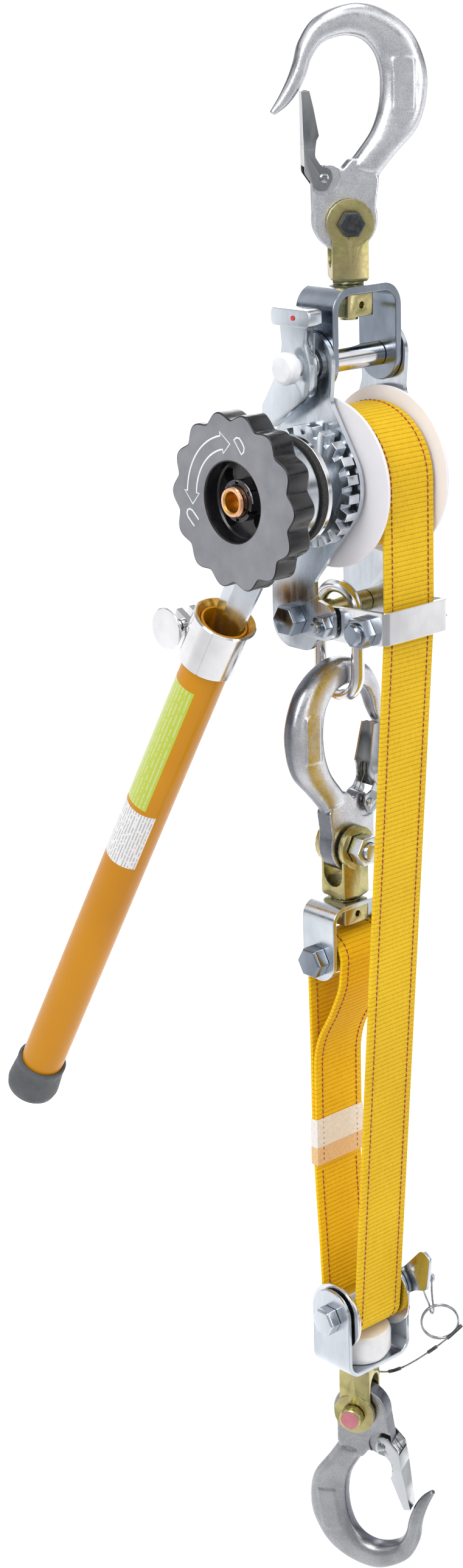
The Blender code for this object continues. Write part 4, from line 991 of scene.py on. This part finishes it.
def castle_outline():
    """A hexagon nut's outline with a slot in each corner's place."""
    points = []
    for i in range(6):
        middle = math.radians(60 * i)
        for offset, radius in ((-22, 13.2), (-7, 13.0), (-7, 10.9), (7, 10.9), (7, 13.0), (22, 13.2)):
            angle = middle + math.radians(offset)
            points.append(Vector((radius * math.cos(angle), radius * math.sin(angle))))
    return points


def make_brake():
    for node, name, radius, low, high, kind, edge in (
            ("brake_hub", "brake_hub_sleeve", 19, -56.0, -46.3, "zinc", 0.4),
            ("pressure_disc", "pressure_disc_plate", 35, -60.0, -56.3, "polished", 0.6),
            ("friction_disc", "friction_disc_ring", 35, -65.0, -60.3, "lining", 0.4)):
        show(name, tube_x(DRUM, radius, SHAFT_BORE, low, high), kind, "drum", (node,), edge)


WHEEL_R = 56.0
WHEEL_BUMPS = 14
WHEEL_FRONT = -109.0
WHEEL_BACK = -91.0
RECESS_FLOOR = -98.0
RECESS_R = 25.0


def wheel_radius(angle, inset):
    """The scalloped rim: broad lobes with narrower hollows between them."""
    wave = 0.5 + 0.5 * math.cos(WHEEL_BUMPS * angle)
    return WHEEL_R - inset - 4.9 * (1 - wave ** 0.8)


def make_handwheel():
    """A moulded wheel: a scalloped rim round a web with four windows, closed round on itself."""
    front_edge, back_edge = 0.9, 2.0
    rows = [
        (None, SHAFT_BORE, RECESS_FLOOR), (None, RECESS_R - 1, RECESS_FLOOR),
        (None, RECESS_R, RECESS_FLOOR - 1), (None, RECESS_R, WHEEL_FRONT + 1.2),
        (None, RECESS_R + 0.4, WHEEL_FRONT + 0.4), (None, RECESS_R + 1.2, WHEEL_FRONT),
        (front_edge, None, WHEEL_FRONT)]
    for degrees in (22.5, 45, 67.5, 90):
        turn = math.radians(degrees)
        along = WHEEL_FRONT + front_edge * (1 - math.cos(turn))
        rows.append((front_edge * (1 - math.sin(turn)), None, along))
    for degrees in (0, 30, 60, 90):
        turn = math.radians(degrees)
        along = WHEEL_BACK - back_edge * (1 - math.sin(turn))
        rows.append((back_edge * (1 - math.cos(turn)), None, along))
    rows += [(None, 34, WHEEL_BACK), (None, SHAFT_BORE, WHEEL_BACK)]
    steps = WHEEL_BUMPS * 24
    bm = bmesh.new()
    rings = []
    for i in range(steps):
        angle = math.tau * i / steps
        ring = []
        for inset, radius, x in rows:
            reach = wheel_radius(angle, inset) if radius is None else radius
            ring.append((x, reach * math.cos(angle), reach * math.sin(angle)))
        rings.append(ring)
    add_loft(bm, rings, closed=True)
    mesh = mesh_of(bm, Matrix.Translation(DRUM * MM))
    windows = []
    for i in range(4):
        spin = Matrix.Translation(DRUM * MM) @ Matrix.Rotation(math.radians(45 + 90 * i), 4, "X")
        across = basis((0, 0, 0), Y_AXIS, Z_AXIS)
        slot = arc((17.6, 0), 5.2, 90, 270, 20) + arc((18.8, 0), 5.2, -90, 90, 20)
        windows.append(plate([slot], 400, spin @ across))
    mesh = minus(mesh, *windows)

    def paint(face):
        return 1 if abs(face.center.x - WHEEL_FRONT * MM) < 0.02 * MM else 0
    show("handwheel_moulding", mesh, "wheel_rim", "handwheel", ("handwheel",), others=("wheel_face",),
         paint=paint, angle=30)


def wheel_point(angle, radius):
    """A point on the wheel's face. The angle is in degrees from +Y towards +Z."""
    turn = math.radians(angle)
    return Vector((WHEEL_FRONT, DRUM.y + radius * math.cos(turn), DRUM.z + radius * math.sin(turn)))


def make_wheel_marks():
    """A double arrow and the letters D and U for down and up, as thin raised outlines."""
    low, high, middle, half, steps = 3.0, 77.0, 37.2, 4.2, 24
    outer = [wheel_point(low + (high - low) * i / steps, middle + half) for i in range(steps + 1)]
    inner = [wheel_point(high - (high - low) * i / steps, middle - half) for i in range(steps + 1)]
    wide = 6.8
    top = [
        wheel_point(high, middle + wide), wheel_point(high + 12, middle - 1), wheel_point(high, middle - wide)]
    bottom = [wheel_point(low, middle - wide), wheel_point(low - 12, middle), wheel_point(low, middle + wide)]
    on_face = Matrix.Translation((WHEEL_FRONT * MM, 0, 0))
    flat = on_face @ Matrix.Diagonal((0.35, 1, 1, 1)) @ on_face.inverted()
    arrow = wire(outer + top + inner + bottom, 0.55, flat, closed=True, round_by=3)
    show("direction_arrow", arrow, "mark_white", "handwheel")
    letter_d = [(-2.6, -5.2), (-2.6, 5.2), (0.2, 5.2), (2.3, 3.4), (2.7, 0), (2.3, -3.4), (0.2, -5.2)]
    letter_u = [(-3.2, 5.4), (-3.2, -2.2), (-2.1, -4.6), (0, -5.4), (2.1, -4.6), (3.2, -2.2), (3.2, 5.4)]
    for name, outline, angle, radius, lean, closed in (
            ("letter_d", letter_d, 103, 37.6, 128, True), ("letter_u", letter_u, -20.2, 40.3, -42, False)):
        centre = wheel_point(angle, radius)
        turn = Matrix.Rotation(math.radians(lean - 90), 2)
        points = []
        for corner in outline:
            place = turn @ Vector(corner)
            points.append(centre + Vector((0, -place.x, place.y)))
        show(name, wire(points, 0.55, flat, closed=closed, round_by=3), "mark_white", "handwheel")


# ---------------------------------------------------------------- lever and handle

LEVER_X = -70.0
LEVER_TURN = math.radians(30.3)
TUBE_R = 16.0
CLAMP_ALONG = 132.0
CLAMP_OUT = 28.0


def lever_basis():
    """Local x runs down the handle, y is up the lever's free side and z is +X."""
    along = Vector((0, math.sin(LEVER_TURN), -math.cos(LEVER_TURN)))
    return basis(DRUM + X_AXIS * LEVER_X, along, X_AXIS.cross(along))


def make_lever():
    """The ratchet hub and its arm, a sheet folded to a V that tapers into the handle."""
    at = lever_basis()
    hub = minus(rod(33, -16, 4.7, at, 96), rod(SHAFT_BORE, -60, 60, at))
    show("lever_hub", hub, "zinc", "lever", ("lever",), 0.8)

    def vee(along, half, deep, thick=3.0):
        front = [(-half, deep * 0.5), (0, -deep), (half, deep * 0.5)]
        back = [(y, z + thick) for y, z in reversed(front)]
        return [(along, y, z) for y, z in front + back]
    arm = loft([vee(26, 15, 5), vee(70, 14.5, 5), vee(104, 13, 5), vee(124, 7, 3.5), vee(136, 2, 2)], at)
    show("lever_arm", arm, "zinc", "lever", (), 0.5)


def make_handle():
    at = lever_basis()
    along = at @ Matrix.Rotation(math.pi / 2, 4, "Y")
    tube = [(TUBE_R, 571), (TUBE_R, 107), (TUBE_R - 1.7, 107), (TUBE_R - 1.7, 571)]
    show("handle_tube_paint", turned(tube, along, 128), "amber", "lever", ("handle_tube",), 0.5)
    within = TUBE_R + 0.3
    collar = [(21.5, 140), (21.5, 105), (20.5, 104), (19.5, 104), (within, 108), (within, 140)]
    collar = turned(collar, along, 128)
    ears = block((CLAMP_ALONG - 9, 19, -8), (CLAMP_ALONG + 8, CLAMP_OUT + 7, 8), at)
    gap = block((CLAMP_ALONG - 20, 22, -3), (CLAMP_ALONG + 20, CLAMP_OUT + 20, 3), at)
    screw_at = at @ Matrix.Translation((CLAMP_ALONG * MM, CLAMP_OUT * MM, 0))
    seam = block((100, -0.35, -25), (145, 0.35, -20.6), at @ Matrix.Rotation(math.radians(-28), 4, "X"))
    collar = minus(joined(collar, ears), gap, rod(3.3, -30, 30, screw_at), seam)

    def paint(face):
        spot = at.inverted() @ face.center
        return 1 if math.hypot(spot.y, spot.z) < 20.0 * MM and spot.x < 112 * MM else 0
    show("handle_collar_clamp", collar, "polished", "lever", ("handle_collar",), 0.4, others=("brass",),
         paint=paint)
    screw = [(0, 17), (3, 17), (3, -8.4), (4.6, -8.4), (4.6, -15.5), (6.5, -15.5), (6.5, -17.2), (14, -17.6),
             (14.2, -18.4), (13.6, -19.2), (4, -19.6), (0, -19.6)]
    show("clamp_screw_disc", turned(screw[::-1], screw_at, 64, closed=False), "polished", "clamp_screw",
         ("clamp_screw",), 0.2)
    cap = [
        (0, 571.3), (within, 571.3), (within, 543), (17.9, 543), (18.6, 544.2), (18.6, 546.5),
        (18.2, 547.5), (18.5, 552), (19.5, 565), (19.7, 569), (18.6, 574), (16.6, 576.2), (13.6, 577),
        (0, 577)]
    show("handle_cap_moulding", turned(cap, along, 96, closed=False), "rubber", "lever", ("handle_cap",), 0.3)
    make_label("label_lime", "label_lime", at, (159, 268), (-128, -22))
    make_label("label_white", "label_white", at, (272, 322), (-160, -36))


def make_label(name, kind, at, span, angles):
    """A thin curved label on the tube, with a UV map in millimetres."""
    low, high = span
    rows, columns = 12, 24
    radius = TUBE_R + 0.12
    rings = []
    for i in range(rows + 1):
        x = low + (high - low) * i / rows
        outer, inner = [], []
        for j in range(columns + 1):
            angle = math.radians(angles[0] + (angles[1] - angles[0]) * j / columns)
            outer.append((x, radius * math.cos(angle), radius * math.sin(angle)))
            inner.append((x, (radius - 0.2) * math.cos(angle), (radius - 0.2) * math.sin(angle)))
        rings.append(outer + inner[::-1])
    mesh = loft(rings, at)
    layer = mesh.uv_layers.new(name="UVMap")
    back = at.inverted()
    for loop in mesh.loops:
        spot = back @ mesh.vertices[loop.vertex_index].co
        layer.data[loop.index].uv = (math.atan2(spot.z, spot.y) * radius, spot.x / MM)
    show(name, mesh, kind, "lever", (), angle=50)


# ---------------------------------------------------------------- strap

STRAP_WIDE = 44.5
STRAP_THICK = 3.0
RIB_PITCH = 3.2
RIB_TALL = 0.32
STITCH_X = 16.4
STRAP_FRONT_Y = -51.0
ROLLER_REACH = 15.8


def even(path, step, closed=False):
    """Points at one spacing along a path, the spacing nearest to step that divides it."""
    points = [*path, path[0]] if closed else list(path)
    lengths = [0.0]
    for a, b in zip(points, points[1:]):
        lengths.append(lengths[-1] + (b - a).length)
    count = max(4, 4 * round(lengths[-1] / step / 4))
    spaced = []
    index = 0
    for i in range(count if closed else count + 1):
        want = lengths[-1] * i / count
        while index < len(points) - 2 and lengths[index + 1] < want:
            index += 1
        part = (want - lengths[index]) / (lengths[index + 1] - lengths[index])
        spaced.append(points[index].lerp(points[index + 1], part))
    return spaced


def frames(points, closed=False):
    """Each point's unit normal, to the left of the path."""
    count = len(points)
    normals = []
    for i in range(count):
        before = points[i - 1] if closed or i else points[0]
        after = points[(i + 1) % count] if closed or i < count - 1 else points[-1]
        along = (after - before).normalized()
        normals.append(Vector((-along.y, along.x)))
    return normals


def ribbon(path, closed=False, stitch_sides=(1, -1), sewn=None):
    """Ribbed webbing along a path of (y, z) points, with its edge stitching. sewn = (low z, high z) adds
    lengthwise seams there."""
    points = even(path, RIB_PITCH / 4, closed)
    normals = frames(points, closed)
    columns = (-1, -0.985, -0.93, -0.6, -0.2, 0.2, 0.6, 0.93, 0.985, 1)
    humps = (0.0, 0.8, 1.0, 0.8)
    bm = bmesh.new()
    ribs = bm.verts.layers.float.new("rib")
    rings = []
    for i, (point, normal) in enumerate(zip(points, normals)):
        half = STRAP_THICK / 2 - RIB_TALL * (1 - humps[i % 4])
        ring = []
        for side in (1, -1):
            for column in columns if side == 1 else columns[::-1]:
                reach = half * (0.35 if abs(column) == 1 else 0.8 if abs(column) == 0.985 else 1)
                place = point + normal * side * reach
                ring.append((column * STRAP_WIDE / 2, place.x, place.y))
        rings.append(ring)
    layers = add_loft(bm, rings, closed)
    for i, layer in enumerate(layers):
        for vertex in layer:
            vertex[ribs] = humps[i % 4]
    for face_side in stitch_sides:
        for x in (-STITCH_X, STITCH_X):
            add_stitches(bm, points, normals, x, face_side, 1, 0.55)
    if sewn:
        low, high = sewn
        stretch = [i for i, point in enumerate(points) if low <= point.y <= high]
        runs = [[i for i in stretch if i < len(points) / 2], [i for i in stretch if i >= len(points) / 2]]
        for run in runs:
            part = [points[i] for i in run]
            sides = [normals[i] for i in run]
            for column in range(-6, 7):
                add_stitches(bm, part, sides, column * 2.55, 1, 2, 0.75)
    return mesh_of(bm)


def add_stitches(bm, points, normals, x, face_side, material, radius):
    """A row of stitches, each a short bead that dips in at both ends."""
    swells = (0.35, 0.9, 1, 0.9, 0.35)
    for start in range(1, len(points) - len(swells) - 1, len(swells)):
        rings = []
        for i, swell in enumerate(swells, start):
            lift = STRAP_THICK / 2 - 0.12 + 0.2 * swell
            place = points[i] + normals[i] * face_side * lift
            ring = []
            for side in range(6):
                angle = math.tau * side / 6
                up = normals[i] * face_side * radius * swell * math.sin(angle)
                ring.append((x + radius * swell * math.cos(angle), place.x + up.x, place.y + up.y))
            rings.append(ring)
        add_loft(bm, rings, material=material)


def tangent_low():
    """Where the front leg meets the sheave."""
    start = Vector((STRAP_FRONT_Y, LOWER_Z))
    across = SHEAVE.yz - start
    lean = math.asin(ROLLER_REACH / across.length)
    down = Matrix.Rotation(-lean, 2) @ across.normalized()
    return start + down * math.sqrt(across.length ** 2 - ROLLER_REACH ** 2)


def make_strap():
    coil_r = 46.4 - STRAP_THICK / 2
    threads = ("thread", "thread_orange")
    turn = ribbon(circle(DRUM.yz, coil_r, 180), closed=True, stitch_sides=(-1,))
    show("strap_outer_turn", turn, "webbing", "drum", ("strap_coil",), others=threads)
    profile = []
    turns = 7
    for side in (1, -1):
        for i in range(turns * 4 + 1):
            part = i / (turns * 4)
            radius = 44.0 - 18.6 * part if side == 1 else 25.4 + 18.6 * part
            x = side * (STRAP_WIDE / 2 - 0.3 - 0.35 * (i % 4 == 0))
            profile.append((radius, x))
    show("strap_inner_turns", turned(profile, axis_basis(DRUM, X_AXIS)), "webbing", "drum")

    touch = tangent_low()
    bend = [Vector((STRAP_FRONT_Y, LOWER_Z + 8)), Vector((STRAP_FRONT_Y + 0.05, LOWER_Z)),
            Vector((STRAP_FRONT_Y, LOWER_Z)).lerp(touch, 0.02)]
    front_path = [Vector((DRUM.y - coil_r, DRUM.z)), Vector((STRAP_FRONT_Y, DRUM.z - 30)), *bend, touch]
    front = show("strap_front_leg_webbing", ribbon(front_path), "webbing", "frame", ("strap_front_leg",),
                 others=threads)
    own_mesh(front)

    centre = SHEAVE.yz
    start = math.degrees(math.atan2(touch.y - centre[1], touch.x - centre[0])) % 360
    show("strap_sheave_bend", ribbon(arc(centre, ROLLER_REACH, start, 360, 60)), "webbing", "block",
         ("strap_sheave_wrap",), others=threads)

    top = Vector((22.8, -762.3))
    back_path = smooth_path([Vector((centre[0] + ROLLER_REACH, centre[1])), Vector((17.6, -851)),
                             Vector((19.3, -818)), Vector((21.5, -786)), top], 12)
    # The back leg wears the deeper orange copy of the webbing, painted shade.
    back = show("strap_back_leg_webbing", ribbon(back_path), "webbing_shaded", "frame", ("strap_back_leg",),
                others=threads)
    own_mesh(back)
    make_sewn_end()


def make_sewn_end():
    """The two plies round the anchor roller, sewn together below it and bound with two bands of tape."""
    centre = ANCHOR_PIN.yz
    rear = smooth_path([
        Vector((24.3, -762)), Vector((24.3, -700)), Vector((24.4, -668)), Vector((25.0, -632)),
        Vector((centre[0] + ROLLER_REACH, centre[1]))], 12)
    over = arc(centre, ROLLER_REACH, 0, 192, 48)[1:]
    front = smooth_path([over[-1], Vector((-4.0, -622)), Vector((5.0, -643)), Vector((15.5, -662)),
                         Vector((20.4, -678)), Vector((21.3, -696)), Vector((21.3, -762))], 12)[1:]
    mesh = ribbon(rear + over + front, sewn=(-727, -668))
    # The sewn loop wears the deeper orange copy of the webbing, painted shade.
    show("strap_sewn_loop", mesh, "webbing_shaded", "frame", ("strap_anchor_loop",),
         others=("thread", "thread_orange"))
    for kind, low, high, proud in (("tape_white", -748.5, -727, 0.45), ("tape_peach", -762, -748.5, 0.3)):
        half = STRAP_WIDE / 2 + proud
        band = block((-half, 19.8 - proud, low), (half, 25.8 + proud, high), Matrix())
        show("strap_" + kind, band, kind, "frame", (), 0.4)


# ---------------------------------------------------------------- small pieces

def make_pawl_spring():
    """A torsion spring on the upper bolt: its coils and a leg on the pawl."""
    turns, count = 2.6, 28
    helix = []
    for i in range(round(turns * count) + 1):
        angle = math.radians(170) + math.tau * i / count
        spot = Vector((-40.3 + 5.0 * i / (turns * count), 9.4 * math.cos(angle), 9.4 * math.sin(angle)))
        helix.append(UPPER_BOLT + spot)
    path = [helix[0] + Vector((-1.0, -1.5, 20)), *helix]
    show("pawl_spring_coil", wire(path, 0.9, round_by=4), "spring", "frame", ("pawl_spring",))


def make_hitch_ring():
    """A split ring of two flat turns, hung from the wing's stud by a wire link."""
    ring_at, stud_at = Vector((45, -33.2, -890)), Vector((37.5, -27.2, -856))
    turn = math.radians(-41.8)
    along = Vector((math.cos(turn), math.sin(turn), 0))
    count = 48
    path = []
    for i in range(2 * count):
        angle = math.tau * i / count
        rise = 1.7 * min(1, max(0, i / count - 0.5)) - 0.85
        path.append(Vector((13.2 * math.cos(angle), 13.2 * math.sin(angle), rise)))
    show("hitch_split_ring", wire(path, 0.85, basis(ring_at, along, Z_AXIS), round_by=4), "spring", "block",
         ("hitch_ring",))
    loop = [Vector(corner) for corner in (
        (0, 3.4, 0), (2.8, 2.2, 0), (3.8, -1.2, 0.2), (3.8, -8, 0.8), (4.3, -16, 2.4),
        (4.9, -21.5, 2.9), (4.6, -25, 2), (3.6, -26.6, 0), (2.8, -25, -2), (2.2, -21.5, -2.9),
        (0.2, -16, -2.4), (-2.2, -8, -0.8), (-3.7, -1.2, -0.2), (-2.8, 2.2, 0))]
    closed = smooth_path([*loop, loop[0]], 5)[:-1]
    link = wire(closed, 0.8, basis(stud_at, along, Z_AXIS), closed=True, round_by=4)
    show("hitch_wire_link", link, "spring", "block", ("ring_link",))


def make_marks():
    """A red dot on the pawl's tab and a pink paint dab on the bottom hook's pin."""
    dot = rod(1.6, -0.2, 0.25, axis_basis((-49.0, 0, -166.5), -X_AXIS), 24)
    show("pawl_red_dot", dot, "mark_red", "holding_pawl")
    eye, turn = HOOKS["bottom_hook"][0], math.radians(HOOKS["bottom_hook"][1])
    outward = Vector((-math.sin(turn), math.cos(turn), 0))
    face = rod(6.6, 21.7, 22.05, axis_basis(eye, outward))
    show("bottom_pin_pink_mark", face, "mark_pink", "bottom_swivel", (), 0.1)


for make in (
        make_hooks, make_latches, make_bail, make_side_plates, make_guide, make_ring, make_spacers,
        make_anchor_bracket, make_block_frame, make_boss, make_drum, make_shaft, make_brake, make_handwheel,
        make_wheel_marks, make_lever, make_handle, make_strap, make_pawl_spring, make_hitch_ring, make_marks):
    make()

for node, kind, edge in (
        ("top_clevis", "yellow_zinc", 0.9), ("mid_clevis", "yellow_zinc", 0.9),
        ("bottom_clevis", "yellow_zinc", 0.9), ("top_swivel_nut", "yellow_zinc", 0.7),
        ("mid_swivel_nut", "yellow_zinc", 0.7), ("bottom_hook_pin", "yellow_zinc", 0.6),
        ("top_hook_bolt", "dark_steel", 0.5), ("top_hook_nut", "dark_steel", 0.5),
        ("mid_hook_bolt", "zinc", 0.5), ("mid_hook_nut", "zinc", 0.5),
        ("lower_bolt", "dark_zinc", 0.5), ("lower_nut", "zinc", 0.5),
        ("guide_screw_left", "dark_zinc", 0.4), ("guide_screw_right", "dark_zinc", 0.4),
        # The upper bolt gets the near-white painted highlight in place of zinc.
        ("guide_bolt", "dark_zinc", 0.5), ("upper_bolt", "painted_glare", 0.6), ("holding_pawl", "zinc", 0.6),
        ("ratchet_wheel", "zinc", 0.35), ("anchor_bolt", "dark_zinc", 0.5), ("sheave_bolt", "zinc", 0.5),
        ("axle_wing", "zinc", 0.5), ("clamp_nut", "dark_zinc", 0.4)):
    refined(node, kind, edge)
